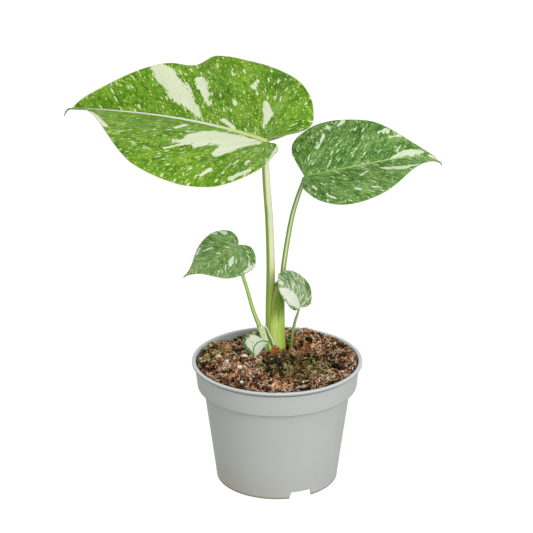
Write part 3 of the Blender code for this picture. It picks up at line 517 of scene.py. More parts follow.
# The twelve points and twenty faces of a regular solid, which every lump starts from.
GOLDEN = 0.5 * (1.0 + 5.0 ** 0.5)
NUB = np.array([(-1, GOLDEN, 0), (1, GOLDEN, 0), (-1, -GOLDEN, 0), (1, -GOLDEN, 0),
                (0, -1, GOLDEN), (0, 1, GOLDEN), (0, -1, -GOLDEN), (0, 1, -GOLDEN),
                (GOLDEN, 0, -1), (GOLDEN, 0, 1), (-GOLDEN, 0, -1), (-GOLDEN, 0, 1)]) / np.hypot(1.0, GOLDEN)
NUB_FACES = np.array([(0, 11, 5), (0, 5, 1), (0, 1, 7), (0, 7, 10), (0, 10, 11), (1, 5, 9), (5, 11, 4),
                      (11, 10, 2), (10, 7, 6), (7, 1, 8), (3, 9, 4), (3, 4, 2), (3, 2, 6), (3, 6, 8),
                      (3, 8, 9), (4, 9, 5), (2, 4, 11), (6, 2, 10), (8, 6, 7), (9, 8, 1)])


def unit(vectors):
    """The vectors at a length of 1."""
    return vectors / np.linalg.norm(vectors, axis=-1, keepdims=True)


def turned(rng, count):
    """Random rotations, one 3 x 3 matrix a lump, from random unit quaternions."""
    a, b, c, d = unit(rng.normal(size=(count, 4))).T
    return np.stack([np.stack([1 - 2 * (c * c + d * d), 2 * (b * c - a * d), 2 * (b * d + a * c)], -1),
                     np.stack([2 * (b * c + a * d), 1 - 2 * (b * b + d * d), 2 * (c * d - a * b)], -1),
                     np.stack([2 * (b * d - a * c), 2 * (c * d + a * b), 1 - 2 * (b * b + c * c)], -1)], -2)


def strewn(rng, count, reach=SOIL_RADIUS - 0.5 * MM):
    """Random places on the top of the mix, off the plant's foot: spread evenly over the disc, but
    more on its small rises than in the hollows between them, and more along the wall."""
    tries = 4 * count
    spread, bearing = reach * np.sqrt(rng.uniform(0, 1, tries)), rng.uniform(0, 2 * np.pi, tries)
    x, y = spread * np.cos(bearing), spread * np.sin(bearing)
    perch = 0.6 * bumps(x, y, 3.6 * MM, 2) + 0.5 * bumps(x, y, 1.9 * MM, 3)
    perch = perch + rng.normal(0.05, 0.22, tries)
    perch = perch + 0.5 * np.clip(1.0 - (reach - spread) / WALL_BAND, 0.0, 1.0)
    off_x, off_y = (x / MM - CLUMP[0]) / CLUMP_HALF[0], (y / MM - CLUMP[1]) / CLUMP_HALF[1]
    free = (np.hypot(off_x, off_y) > 1.0) & (perch > 0.0)
    return x[free][:count], y[free][:count]


def lumps(rng, x, y, sizes, sink):
    """Twenty-sided lumps: a sphere's twelve points, each moved in or out at random, stretched to
    the lump's three half sizes, turned at random and set on the mix.  It is sunk into the mix by
    sink times its mean half size, or raised if sink is below 0."""
    shape = NUB[None] * rng.uniform(0.65, 1.25, (len(x), len(NUB), 1)) * sizes[:, None, :]
    shape = np.einsum("nij,nkj->nki", turned(rng, len(x)), shape)
    lift = soil_level(x, y) + sizes.mean(axis=1) * (1.0 - sink)
    points = shape + np.stack([x, y, lift], axis=-1)[:, None, :]
    faces = NUB_FACES[None] + len(NUB) * np.arange(len(x))[:, None, None]
    return points.reshape(-1, 3), [faces.reshape(-1, 3)]


def own_tones(rng, x, y, light, dark, each):
    """Each lump's own tone, given to each of its points: a random share from 0 to 1, higher the
    more light outweighs dark, and moved up and down along with its neighbours' by smooth bumps."""
    return np.repeat(rng.beta(light, dark, len(x)) + 0.42 * bumps(x, y, 3.4 * MM, 9), each)


def strew(name, points, faces, finish, tone):
    """Lays lumps or hairs on the mix as one piece, each point with its own tone."""
    make_piece(name, points, faces, finish, "potting_mix", (), {"tone": tone}, 0)


flake_finish = soil_finish("flakes", 1.0, (0.0, 30, 15, 7), (0.25, 108, 66, 38),
                           (0.5, 200, 142, 92), (0.74, 252, 206, 154), (0.95, 255, 248, 222))
# Name, number, usual and largest half size in mm, and how deep each kind is sunk.
rng = np.random.default_rng(7)
for name, count, size, largest, sink in (("chunks", 460, 1.25, 2.4, 0.25),
                                         ("flakes", 4400, 0.68, 1.7, 0.0)):
    x, y = strewn(rng, count)
    sizes = size * MM * rng.lognormal(0.0, 0.4, (count, 1))
    sizes = sizes * rng.uniform(0.3, 1.0, (count, 3)) ** (-0.3, 1.0, 2.4)
    points, faces = lumps(rng, x, y, np.minimum(sizes, largest * MM), sink)
    strew(name, points, faces, flake_finish, own_tones(rng, x, y, 0.75, 0.9, len(NUB)))


def strands(rng, x, y, *ranges, lift=1.0 * MM):
    """Three-sided bent hairs whose length, half width and arch are drawn from the three ranges
    (mm).  Each is centred on its place, bends along the way, follows the mix at a height of lift
    and arches up in the middle as a parabola; gives points, faces and the points in one hair."""
    steps = 7
    lengths, widths, arch = [rng.uniform(low, high, len(x)) * MM for low, high in ranges]
    t = np.linspace(-0.5, 0.5, steps)[None, :]
    bearing = rng.uniform(0, 2 * np.pi, (len(x), 1)) + rng.uniform(-2.2, 2.2, (len(x), 1)) * t
    px = x[:, None] + lengths[:, None] * t * np.cos(bearing)
    py = y[:, None] + lengths[:, None] * t * np.sin(bearing)
    spread = np.hypot(px, py)
    inside = np.minimum(1.0, (SOIL_RADIUS - 0.5 * MM) / spread)
    px, py = px * inside, py * inside
    base = (soil_level(px, py) + np.repeat(soil_level(x, y)[:, None], steps, axis=1)) / 2
    slope = rng.uniform(-1, 1, (len(x), 1)) * t * lengths[:, None] * 0.25
    pz = base + lift + arch[:, None] * (1 - 4 * t * t) + slope
    along = unit(np.gradient(np.stack([px, py, pz], -1), axis=1))
    side = np.cross(along, (0.0, 0.0, 1.0))
    side /= np.linalg.norm(side, axis=-1, keepdims=True) + 1e-9
    over = np.cross(side, along)
    girth = widths[:, None] * (1.0 - 0.6 * np.abs(2 * t) ** 2)
    sweep = np.arange(3) * 2 * np.pi / 3
    ring = np.cos(sweep)[:, None] * side[:, :, None, :] + np.sin(sweep)[:, None] * over[:, :, None, :] * 0.6
    points = np.stack([px, py, pz], -1)[:, :, None, :] + girth[:, :, None, None] * ring
    quads = grid_faces(steps, 3, True)[None] + 3 * steps * np.arange(len(x))[:, None, None]
    caps = np.array([(2, 1, 0), (3 * steps - 3, 3 * steps - 2, 3 * steps - 1)])[None]
    caps = caps + 3 * steps * np.arange(len(x))[:, None, None]
    return points.reshape(-1, 3), [quads.reshape(-1, 4), caps.reshape(-1, 3)], 3 * steps


# Coir fibres lie all over the mix.
FIBRE_COUNT = 4200
fibre_finish = soil_finish("fibres", 1.0, (0.0, 40, 21, 10), (0.25, 132, 84, 50),
                           (0.5, 214, 156, 106), (0.75, 254, 212, 162), (1.0, 255, 250, 226))
rng = np.random.default_rng(21)
x, y = strewn(rng, FIBRE_COUNT)
points, faces, each = strands(rng, x, y, (2.5, 8.5), (0.22, 0.62), (-0.2, 1.8), lift=1.1 * MM)
strew("fibres", points, faces, fibre_finish, own_tones(rng, x, y, 0.75, 0.9, each))

# Orange coir stands up in tufts at the foot of the stalks and behind the small one.
TUFT_COUNT = 220
tuft_finish = soil_finish("coir_tufts", 0.0, (0.0, 86, 44, 20), (0.3, 168, 98, 54),
                          (0.6, 226, 158, 102), (1.0, 255, 222, 176))
rng = np.random.default_rng(44)
# Each tuft is x, y and spread in mm.
tufts = np.array([(-2.6, 15.2, 1.3), (4.6, 16.8, 1.6), (18.7, 25.0, 3.2), (15.2, 11.0, 2.6),
                  (24.0, 18.0, 3.5)])
pick = rng.integers(0, len(tufts), TUFT_COUNT)
x, y = (tufts[pick, :2] + rng.normal(0, 1, (TUFT_COUNT, 2)) * tufts[pick, 2:]).T * MM
points, faces, each = strands(rng, x, y, (1.5, 4.0), (0.22, 0.5), (0.3, 2.2))
strew("coir_tufts", points, faces, tuft_finish, np.repeat(rng.beta(1.1, 1.3, TUFT_COUNT), each))

# Moss grows as short curved hairs, thick in its patch and thin over the rest of the mix.
MOSS_COUNT, SPARSE_COUNT = 3400, 500
moss_finish = soil_finish("moss", 0.0, (0.0, 12, 14, 3), (0.28, 62, 66, 22),
                          (0.52, 146, 142, 68), (0.75, 224, 210, 132), (1.0, 255, 248, 196))
rng = np.random.default_rng(33)
x = (12.0 + 19.0 * rng.normal(0, 0.75, MOSS_COUNT)) * MM
y = (-11.0 + 15.0 * rng.normal(0, 0.75, MOSS_COUNT)) * MM
growing = rng.uniform(0, 1, MOSS_COUNT) < 0.5 + 1.1 * bumps(x, y, 6 * MM, 12)
growing &= (np.hypot(x, y) < SOIL_RADIUS - 1.5 * MM) & (np.hypot(x / MM - CLUMP[0], y / MM - CLUMP[1]) > 8)
sparse_x, sparse_y = strewn(rng, SPARSE_COUNT)
x, y = np.concatenate([x[growing], sparse_x]), np.concatenate([y[growing], sparse_y])
points, faces, each = strands(rng, x, y, (1.6, 4.2), (0.22, 0.5), (0.2, 1.7))
strew("moss", points, faces, moss_finish, own_tones(rng, x, y, 0.8, 1.3, each))

# Crumbs of orange bark are heaped against the foot of the sheath and lie in small groups about.
# Each heap is x, y and height in mm, and the number of crumbs in it.
HEAPS = ((-1.5, 12.6, 5.2, 30), (-1.0, -40.5, 0.6, 7), (-3.0, -46.0, 0.6, 6), (5.0, -44.0, 0.4, 5),
         (-29.0, -9.0, 0.5, 7), (26.0, 22.0, 0.8, 6), (40.0, 24.0, 0.6, 5))
rng = np.random.default_rng(61)
heaps = np.array([heap[:3] for heap in HEAPS for _ in range(heap[3])])
scatter = rng.normal(0.0, 1.0, (len(heaps), 2))
x, y = (heaps[:, :2] + (1.7, 1.1) * scatter).T * MM
points, faces = lumps(rng, x, y, rng.uniform(0.7, 1.8, (len(heaps), 3)) * MM, -0.5)
pile = heaps[:, 2] * np.exp(-0.45 * (scatter ** 2).sum(axis=1)) * MM
points[:, 2] += np.repeat(pile, len(NUB))
tone = np.where(heaps[:, 2] > 2, 0.1, 0.5) + rng.uniform(0.0, 0.5, len(heaps))
strew("bark_crumbs", points, faces, tuft_finish, np.repeat(tone, len(NUB)))

# Torn bits of pale yellow-green liverwort lie at the left, and a few at the front.
liverwort_finish = soil_finish("liverwort", 0.0, (0.0, 120, 128, 60), (0.5, 206, 212, 134),
                               (1.0, 246, 242, 196))
# Each scrap is x and y in mm, and the number of bits in it.
SCRAPS = ((-46.6, 28.6, 4), (-38.0, 24.6, 4), (-50.6, 7.0, 7), (-43.5, 4.5, 5), (-47.5, 0.5, 3),
          (-34.0, 33.0, 2), (0.4, -39.0, 3))
rng = np.random.default_rng(52)
scraps = np.array([scrap[:2] for scrap in SCRAPS for _ in range(scrap[2])])
scraps = scraps + rng.normal(0, 1.5, scraps.shape)
points, faces = lumps(rng, *(scraps.T * MM), rng.uniform(0.3, 1.3, (len(scraps), 3)) * MM, -0.6)
strew("liverwort", points, faces, liverwort_finish, np.repeat(rng.uniform(0.2, 0.9, len(scraps)), len(NUB)))

# ---- perlite --------------------------------------------------------------------------------
# Grains of expanded volcanic glass, white and pitted, that lie on the mix: eight large ones
# and a scatter of small ones.  Each large one is (x, y), three half sizes in mm and a bearing.
GRAINS = (((-35.4, -5.0), (1.3, 2.4, 1.2), 15.0), ((-23.2, 4.0), (2.0, 2.2, 1.6), 40.0),
          ((-26.1, -13.9), (2.0, 1.9, 1.5), 0.0), ((-24.4, -40.1), (1.1, 2.3, 1.1), 10.0),
          ((-30.0, 3.1), (1.0, 1.1, 0.9), 0.0), ((-12.9, -23.3), (1.0, 0.9, 0.8), 0.0),
          ((-13.0, -41.8), (1.1, 1.2, 0.9), 20.0), ((17.5, -38.0), (0.9, 1.0, 0.9), 0.0))
FINE_COUNT = 260
PEBBLE_ROWS, PEBBLE_COLS = 22, 32


def pebble(place, half, bearing, seed, rough=0.22):
    """A lumpy pebble: a sphere by latitude and longitude, its radius moved by random bumps of
    two sizes, stretched to its half sizes, turned to its bearing and rested on the mix."""
    tilt, sweep = np.meshgrid(np.linspace(0.0, np.pi, PEBBLE_ROWS),
                              np.arange(PEBBLE_COLS) * 2 * np.pi / PEBBLE_COLS, indexing="ij")
    a, b, c = np.sin(tilt) * np.cos(sweep), np.sin(tilt) * np.sin(sweep), np.cos(tilt)
    swell = 1.0 + rough * (bumps(a + c, b - 0.6 * c, 0.75, seed)
                           + 0.5 * bumps(a - c, b + 0.4 * c, 0.33, seed + 50))
    shape = np.stack([a, b, c], -1) * swell[..., None] * np.array(half) * MM
    c, s = math.cos(math.radians(bearing)), math.sin(math.radians(bearing))
    x0, y0 = place[0] * MM, place[1] * MM
    x, y = x0 + c * shape[..., 0] - s * shape[..., 1], y0 + s * shape[..., 0] + c * shape[..., 1]
    z = soil_level(np.array(x0), np.array(y0)) + (1.2 + 0.75 * half[2]) * MM + shape[..., 2]
    return np.stack([x, y, z], -1).reshape(-1, 3), [grid_faces(PEBBLE_ROWS, PEBBLE_COLS, True)]


perlite_finish, tree, shader = new_finish("perlite", 0.85, 0.2)
place = object_place(tree)
pits = noise(tree, place, 0.6 * MM, 3.0, 0.7)
colour = tint(tree, fade(tree, pits, 0.5, 0.3), paint(255, 254, 250), paint(222, 214, 200))
coat(tree, shader, colour, pits, 0.0003)
for number, (where, half, bearing) in enumerate(GRAINS):
    make_piece("grain_%d" % (number + 1), *pebble(where, half, bearing, 60 + number),
               perlite_finish, "perlite", ("perlite_%d" % (number + 1),))
rng = np.random.default_rng(5)
x, y = strewn(rng, FINE_COUNT)
sizes = 0.4 * MM * rng.lognormal(0.0, 0.4, (FINE_COUNT, 1)) * rng.uniform(0.7, 1.3, (FINE_COUNT, 3))
points, faces = lumps(rng, x, y, sizes, 0.0)
points[:, 2] += 0.9 * MM
make_piece("fine_perlite", points, faces, perlite_finish, "perlite", (), None, 0)

# ---- bark -----------------------------------------------------------------------------------
# Five chips of composted pine bark, orange-brown and split along the grain.  Each is given as
# the perlite's grains are: (x, y), three half sizes in mm and a bearing.
CHIPS = (((-2.6, 11.6), (3.0, 1.3, 1.2), 25.0), ((7.6, 12.4), (3.6, 1.2, 1.0), -20.0),
         ((-31.5, -11.3), (2.0, 1.2, 0.9), 35.0), ((20.5, 27.0), (4.4, 1.3, 1.0), 70.0),
         ((9.0, -35.0), (2.8, 1.2, 0.9), -50.0))


def grainy_finish(name, roughness, specular, size, rough, stretch, depth, *stops):
    """A finish of one grain: its mottling, drawn out by stretch, picks the colour from the ramp
    and bumps the surface by depth (m)."""
    made, tree, shader = new_finish(name, roughness, specular)
    grain = noise(tree, object_place(tree), size, 3.0, rough, stretch)
    coat(tree, shader, ramp(tree, grain, *stops), grain, depth)
    return made


bark_finish = grainy_finish("bark", 0.8, 0.3, 0.7 * MM, 0.7, (3.0, 1.0, 1.0), 0.0004,
                            (0.3, 92, 48, 24), (0.5, 172, 100, 54), (0.7, 214, 150, 96))
for number, (where, half, bearing) in enumerate(CHIPS):
    make_piece("chip_%d" % (number + 1), *pebble(where, half, bearing, 90 + number, 0.3),
               bark_finish, "bark", ("bark_%d" % (number + 1),))

# ---- leaves ---------------------------------------------------------------------------------
# Heart-shaped leathery blades on their stalks, splashed and flecked with cream.  Veins leave
# the midrib, or the stalk in the lobes, and run out to the margin.

# A blade is drawn flat, in blade lengths, stalk at (0, 0) and tip at (1, 0), and then bent.
# Pairs are (left half, right half); lengths are mm and turns are degrees.  bold are the larger
# strokes of cream on the flat blade, each a row of (along, across, half width) in hundredths of
# the blade's length; short is (seed, count, longest, widest) of the small ones scattered between.
VEIN_LEAD = 0.84                 # how far a vein's end runs ahead of its start, per unit of half width
LOBE_VEINS = 0.012               # veins that would start nearer the stalk than this start at it
TAIL_POINTS = 12
WAVE_PLACES = (0.12, 0.26, 0.40, 0.54, 0.67, 0.81, 0.95)
WAVE_WIDTH = 0.075
BOX_EASE = 1.2 * MM              # a blade flattens within this of its node's box, and stays inside it
CALM = 0.05                      # waves die out within this share of the margin at sinus and tip
HALF_THICK = 0.26                # mm
HALVES_APART = 400.0             # mm on the UV map, so that the two halves are marked differently
UV_UNIT = 100.0                  # mm
DEGREE = math.pi / 180.0


def skin_rim(rows, cols, last_row):
    """The edges round the margin of a grid, each a pair of points: its first row, its last one if
    last_row is set, and its two outer columns."""
    i, j = np.arange(rows - 1), np.arange(cols - 1)
    end = [np.stack([j, j + 1], -1) + (rows - 1) * cols] if last_row else []
    return np.concatenate([np.stack([j + 1, j], -1), *end, np.stack([i, i + 1], -1) * cols,
                           np.stack([i + 2, i + 1], -1) * cols - 1])


def half_outline(lobe, lobe_out, belly, half, tip_pull, tip_width, square, tail, count):
    """Half of a heart-shaped outline, sinus to tip: three Bezier spans of equal count and a tail
    that narrows evenly to nothing.  A square lobe runs further back before it turns outward."""
    def span(a, b, c, d):
        t = np.linspace(0.0, 1.0, count)[:, None]
        s = 1.0 - t
        a, b, c, d = (np.array(p) for p in (a, b, c, d))
        return s ** 3 * a + 3 * s * s * t * b + 3 * s * t * t * c + t ** 3 * d
    end = 1.0 - tail[0]
    back = span((0.0, 0.0), (-(0.35 + 0.35 * square) * lobe, 0.15 * (1.0 - square) * lobe_out),
                (-lobe, (0.45 - 0.35 * square) * lobe_out), (-lobe, lobe_out))
    flank = span((-lobe, lobe_out), (-lobe, lobe_out + 0.58 * (half - lobe_out)),
                 (belly - 0.55 * (belly + lobe), half), (belly, half))
    point = span((belly, half), (belly + 0.5 * (end - belly), half),
                 (end - tip_pull * (end - belly), tip_width * half), (end, tail[1]))
    along = np.linspace(0.0, 1.0, TAIL_POINTS)[1:, None]
    narrow = np.hstack([end + tail[0] * along, tail[1] * (1.0 - along ** 2)])
    return np.vstack([back, flank[1:], point[1:], narrow])


def bend_blade(leaf, x, y):
    """Carries flat blade points into space.  The midrib is the running sum of its direction,
    which climbs, bows, nods at the tip, hooks in the tail and sways; across it each half is an
    arc that starts at the fold angle and turns with curl.  Gives the points and the blade's
    upward direction."""
    s = np.linspace(-0.4, 1.05, 291)
    ahead = np.clip(s, 0.0, None)
    hooked = np.clip((s - 1.0 + leaf["tail"][0]) / (0.6 * leaf["tail"][0]), 0.0, 1.0)
    climb = DEGREE * (leaf["climb"] + leaf["bow"] * ahead + leaf["nod"] * ahead ** 5 + leaf["hook"] * hooked)
    heading = DEGREE * (leaf["heading"] + leaf["sway"] * s)
    along = np.stack([np.cos(climb) * np.cos(heading), np.cos(climb) * np.sin(heading), np.sin(climb)], -1)
    steps = 0.5 * (along[1:] + along[:-1]) * np.diff(s)[:, None] * leaf["length"]
    rib = np.vstack([np.zeros(3), np.cumsum(steps, axis=0)])
    rib -= rib[np.argmin(np.abs(s))]
    centre = np.stack([np.interp(x, s, rib[:, k]) for k in range(3)], -1)
    t = unit(np.stack([np.interp(x, s, along[:, k]) for k in range(3)], -1))
    level = unit(np.cross((0.0, 0.0, 1.0), t))
    up = np.cross(t, level)
    roll = (DEGREE * (leaf["roll"] + leaf["twist"] * x))[..., None]
    out = np.cos(roll) * level + np.sin(roll) * up
    normal = np.cos(roll) * up - np.sin(roll) * level
    left = y >= 0.0
    fold = DEGREE * np.where(left, leaf["fold"][0] + leaf["fold_gain"][0] * x,
                          leaf["fold"][1] + leaf["fold_gain"][1] * x)
    curl = DEGREE * np.where(left, leaf["curl"][0], leaf["curl"][1])
    reach = np.abs(y)
    lateral = (np.sin(fold + curl * reach) - np.sin(fold)) / curl * leaf["length"]
    rise = -(np.cos(fold + curl * reach) - np.cos(fold)) / curl * leaf["length"]
    side = np.where(left, 1.0, -1.0)
    placed = centre + (side * lateral)[..., None] * out + rise[..., None] * normal
    return (placed + np.array(leaf["foot"])) * MM, normal


def cream_strokes(leaf):
    """The blade's strokes of cream in mm: its bold ones, and a seeded scatter of short ones, each
    turned as the vein there runs, from (along - VEIN_LEAD * |across|) on the midrib outward."""
    seed, count, longest, widest = leaf["short"]
    rng = np.random.default_rng(seed)
    strokes = list(leaf["bold"])
    for _ in range(count):
        along, across = rng.uniform(-12.0, 92.0), rng.uniform(3.0, 38.0) * rng.choice((-1.0, 1.0))
        vein = np.array((along - max(along - VEIN_LEAD * abs(across), 0.0), across))
        vein *= longest * rng.uniform(0.3, 1.0) / np.linalg.norm(vein)
        width = widest * rng.uniform(0.3, 1.0)
        strokes.append(((along, across, width), (along + vein[0], across + vein[1], 0.5 * width)))
    hundredth = 0.01 * leaf["length"]
    return [[tuple(hundredth * value for value in place) for place in row] for row in strokes]


def cream_depth(x, y, strokes):
    """How far inside the nearest cream stroke each flat point lies (mm; negative outside): the
    half width at the nearest place on the stroke less the distance to it.  Gives that and the
    half width."""
    depth, size = np.full(x.shape, -9.0), np.zeros(x.shape)
    for stroke in strokes:
        for (ax, ay, ar), (bx, by, br) in zip(stroke[:-1], stroke[1:]):
            run = max((bx - ax) ** 2 + (by - ay) ** 2, 1e-6)
            t = np.clip(((x - ax) * (bx - ax) + (y - ay) * (by - ay)) / run, 0.0, 1.0)
            gap = np.hypot(x - ax - t * (bx - ax), y - ay - t * (by - ay))
            half = ar + t * (br - ar)
            size = np.where(half - gap > depth, half, size)
            depth = np.maximum(depth, half - gap)
    return depth, size


def make_leaf(name, leaf, finish, slot, node):
    """A closed blade: an upper and a lower skin either side of the bent grid, joined at a thin
    margin.  Rows run sinus to tip and columns left margin, midrib, right margin; each row is one
    vein.  The skins carry the midrib's groove and keel, low quilting between the main veins, the
    cream strokes, and a UV map of (distance along the vein, place among the veins)."""
    count, across = leaf["along"], leaf["across"]
    sides = [half_outline(leaf["lobe"][k], leaf["lobe_out"][k], leaf["belly"][k], leaf["half"][k],
                          *leaf["tip"], leaf["square"][k], leaf["tail"], count) for k in (0, 1)]
    mean = 0.5 * (sides[0] + sides[1])
    lead = mean[:, 0] - VEIN_LEAD * mean[:, 1]
    start = np.clip(0.5 * (lead + np.sqrt(lead ** 2 + 0.0004)) - 0.01, 0.0, None)
    start = np.maximum.accumulate(start)
    start = np.where(start < LOBE_VEINS, 0.0, start / start[-1])
    place = np.clip(np.arange(len(start)) / (3.0 * (count - 1)), 0.0, 1.0)
    calm = (1.0 - np.exp(-(place / CALM) ** 2)) * (1.0 - np.exp(-((1.0 - place) / CALM) ** 2))
    length = leaf["length"]
    columns = {"point": [], "up": [], "x": [], "y": [], "u": [], "v": [], "edge": [], "lift": []}
    t = np.linspace(0.0, 1.0, across + 1) ** 0.9
    for k, sign in ((0, 1.0), (1, -1.0)):
        x = start[:, None] * (1.0 - t) + sides[k][:, 0:1] * t
        y = sign * np.maximum(sides[k][:, 1:2] * t, 1e-9)
        points, up = bend_blade(leaf, x, y)
        waves = [(where, height, WAVE_WIDTH) for where, height in zip(WAVE_PLACES, leaf["waves"][k])]
        waves += [ripple[1:] for ripple in leaf["ripples"] if ripple[0] == sign]
        wave = sum(height * MM * np.exp(-((place - where) / width) ** 2) for where, height, width in waves)
        points = points + ((wave * calm)[:, None] * t * t)[..., None] * up
        reach = length * np.hypot(sides[k][:, 0] - start, sides[k][:, 1])
        gap = length * np.hypot(*np.gradient(np.stack([x[:, across // 2], y[:, across // 2]], -1), axis=0).T)
        v = np.cumsum(gap)
        u = reach[:, None] * t
        quilt = 0.5 - 0.5 * np.cos(2.0 * np.pi * (v[:, None] - 0.05 * u) / leaf["vein_gap"])
        away = np.clip(u / (0.10 * length), 0.0, 1.0)
        away = away * np.clip((reach[:, None] - u) / (0.08 * length), 0.0, 1.0)
        lift = leaf["quilt"] * away * (quilt ** 0.7 - 0.6) * calm[:, None]
        lift = lift + leaf["pucker"] * away * bumps(x * length, y * length, 0.07 * length, 3)
        for key, value in zip(columns, (points, up, x * length, y * length, u, v[:, None] + 0 * u,
                                        reach[:, None] - u, lift)):
            columns[key].append(value)
    halves = {key: np.concatenate([left[:, ::-1], right[:, 1:]], axis=1)[1:]
              for key, (left, right) in columns.items()}
    rib_width = leaf["rib"] * (1.0 - 0.6 * np.clip(halves["x"] / length, 0, 1))
    off_rib = np.abs(halves["y"]) + np.clip(-halves["x"], 0.0, None)
    groove = np.exp(-(off_rib / (0.9 * rib_width)) ** 2)
    shoulder = np.exp(-((off_rib - 1.9 * rib_width) / (0.9 * rib_width)) ** 2)
    thick = HALF_THICK * (1.0 - 0.62 * np.exp(-halves["edge"] / 0.8))
    top = thick + halves["lift"] - 0.12 * rib_width * groove + 0.12 * rib_width * shoulder
    bottom = -thick + halves["lift"] - 0.95 * rib_width * groove
    points = np.concatenate([(halves["point"] + skin[..., None] * MM * halves["up"]).reshape(-1, 3)
                             for skin in (top, bottom)])
    lowest, highest = (np.array(corner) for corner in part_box(node))
    for beyond, limit, sign in ((points - highest, highest, 1.0), (lowest - points, lowest, -1.0)):
        deep = np.clip(beyond + BOX_EASE, 0.0, None)
        eased = limit - sign * BOX_EASE * np.exp(-deep / BOX_EASE)
        points = np.where(beyond > -BOX_EASE, eased, points)
    rows, cols = halves["x"].shape
    size = rows * cols
    upper, rim = grid_faces(rows, cols), skin_rim(rows, cols, False)
    wall = np.concatenate([rim, rim[:, ::-1] + size], axis=1)
    faces = np.concatenate([upper, upper[:, ::-1] + size, wall])
    on_left = [np.tile(np.arange(cols - 1) < across, rows - 1)] * 2
    on_left = np.concatenate([*on_left, np.zeros(len(rim), bool)])
    twice = {key: np.tile(halves[key].ravel(), 2) for key in ("u", "v", "x", "y", "edge")}
    corner = faces.ravel()
    shift = np.repeat(on_left, 4) * HALVES_APART
    veins = np.stack([twice["u"][corner], twice["v"][corner] + shift], -1) / UV_UNIT
    cream, stroke = cream_depth(twice["x"], twice["y"], cream_strokes(leaf))
    values = {"cream": cream, "stroke": stroke,
              "rib": np.tile((rib_width - off_rib).ravel(), 2), "far": twice["x"] / length,
              "edge": twice["edge"], "under": np.repeat((0.0, 1.0), size)}
    return make_piece(name, points, [faces], finish, slot, (node,), values, 0.003 * MM, veins)


def open_group(name, takes, gives):
    """An empty node group with named inputs (name, kind, start value) and named outputs; gives
    the group, its inputs by name and the node that its outputs go into."""
    group = bpy.data.node_groups.new(name, "ShaderNodeTree")
    for key, kind, first in takes:
        plug = group.interface.new_socket(key, in_out="INPUT", socket_type="NodeSocket" + kind)
        if first is not None:
            plug.default_value = first
    for key, kind in gives:
        group.interface.new_socket(key, in_out="OUTPUT", socket_type="NodeSocket" + kind)
    return group, group.nodes.new("NodeGroupInput").outputs, group.nodes.new("NodeGroupOutput").inputs


def place_group(tree, group, **inputs):
    """Puts a node group in a tree, with its own values; gives its outputs."""
    return add_node(tree, "Group", {"node_tree": group}, **inputs).outputs


# The cream of a variegated leaf: strokes with edges torn along the veins, and flecks of three
# sizes, each fleck the middle of one cell of a random pattern drawn out along the veins.
tree, takes, gives = open_group("variegation", (
    ("Veins", "Vector", None), ("Cream", "Float", -9.0), ("Stroke", "Float", 0.0), ("Flecks", "Float", 1.0),
    ("Streaks", "Float", 0.0)), (("Mask", "Float"),))
torn = noise(tree, takes["Veins"], 1.0, 4.0, 0.65, (6.0, 1.1, 1.0))
torn_fine = noise(tree, takes["Veins"], 1.3, 3.0, 0.65, (1.5, 1.0, 1.0))
reach = plus(tree, times(tree, takes["Stroke"], 1.15), 0.6)
torn_wide = noise(tree, takes["Veins"], 3.2, 2.0, 0.5, (3.5, 1.0, 1.0))
ragged = plus(tree, torn, times(tree, torn_wide, 0.7))
ragged = times(tree, calc(tree, "SUBTRACT", ragged, 0.85), reach)
ragged = plus(tree, ragged, swing(tree, torn_fine, 2.0))
mask = fade(tree, plus(tree, takes["Cream"], ragged), -0.1, 0.15)
crowd = noise(tree, takes["Veins"], 11.0, 2.0, 0.5)
# Each row: a cell's size in mm and how many times longer it is, the largest fleck and the
# softness of its edge in cells, how much the flecks crowd, their share of the cells, and strength.
for size, stretch, largest, softness, crowding, share, strength in (
        (1.7, 1.9, 0.34, 0.10, 0.6, 0.62, 0.6), (2.6, 3.0, 0.28, 0.06, 1.0, 0.5, 0.85),
        (5.6, 3.2, 0.2, 0.03, 1.0, 0.17, 1.0)):
    spread = vector_calc(tree, "MULTIPLY", takes["Veins"], (1.0 / (size * stretch), 1.0 / size, 1.0))
    wobble = add_node(tree, "TexNoise", Vector=spread, Scale=2.4, Detail=3.0).outputs["Color"]
    spread = vector_calc(tree, "MULTIPLY_ADD", wobble, (0.85, 0.85, 0.0), spread)
    cells = add_node(tree, "TexVoronoi", {"voronoi_dimensions": "2D"}, Vector=spread, Scale=1.0)
    luck = add_node(tree, "SeparateColor", Color=cells.outputs["Color"]).outputs
    allowed = plus(tree, swing(tree, crowd, crowding), times(tree, takes["Flecks"], share))
    radius = times(tree, calc(tree, "POWER", luck[0], 1.7), largest)
    chosen = fade(tree, calc(tree, "SUBTRACT", allowed, luck[1]), -0.02, 0.02)
    inside = calc(tree, "SUBTRACT", radius, cells.outputs["Distance"])
    fleck = fade(tree, inside, -softness, softness * 0.4)
    fleck = times(tree, times(tree, fleck, chosen), strength)
    mask = calc(tree, "MAXIMUM", mask, fleck)
lines = noise(tree, takes["Veins"], 1.0, 3.0, 0.6, (9.0, 0.75, 1.0))
lines = fade(tree, plus(tree, lines, times(tree, takes["Streaks"], 0.3)), 0.72, 0.80)
lines = times(tree, lines, fade(tree, takes["Streaks"], 0.0, 0.15))
mask = calc(tree, "MAXIMUM", mask, lines)
tree.links.new(mask, gives["Mask"])
variegation = tree

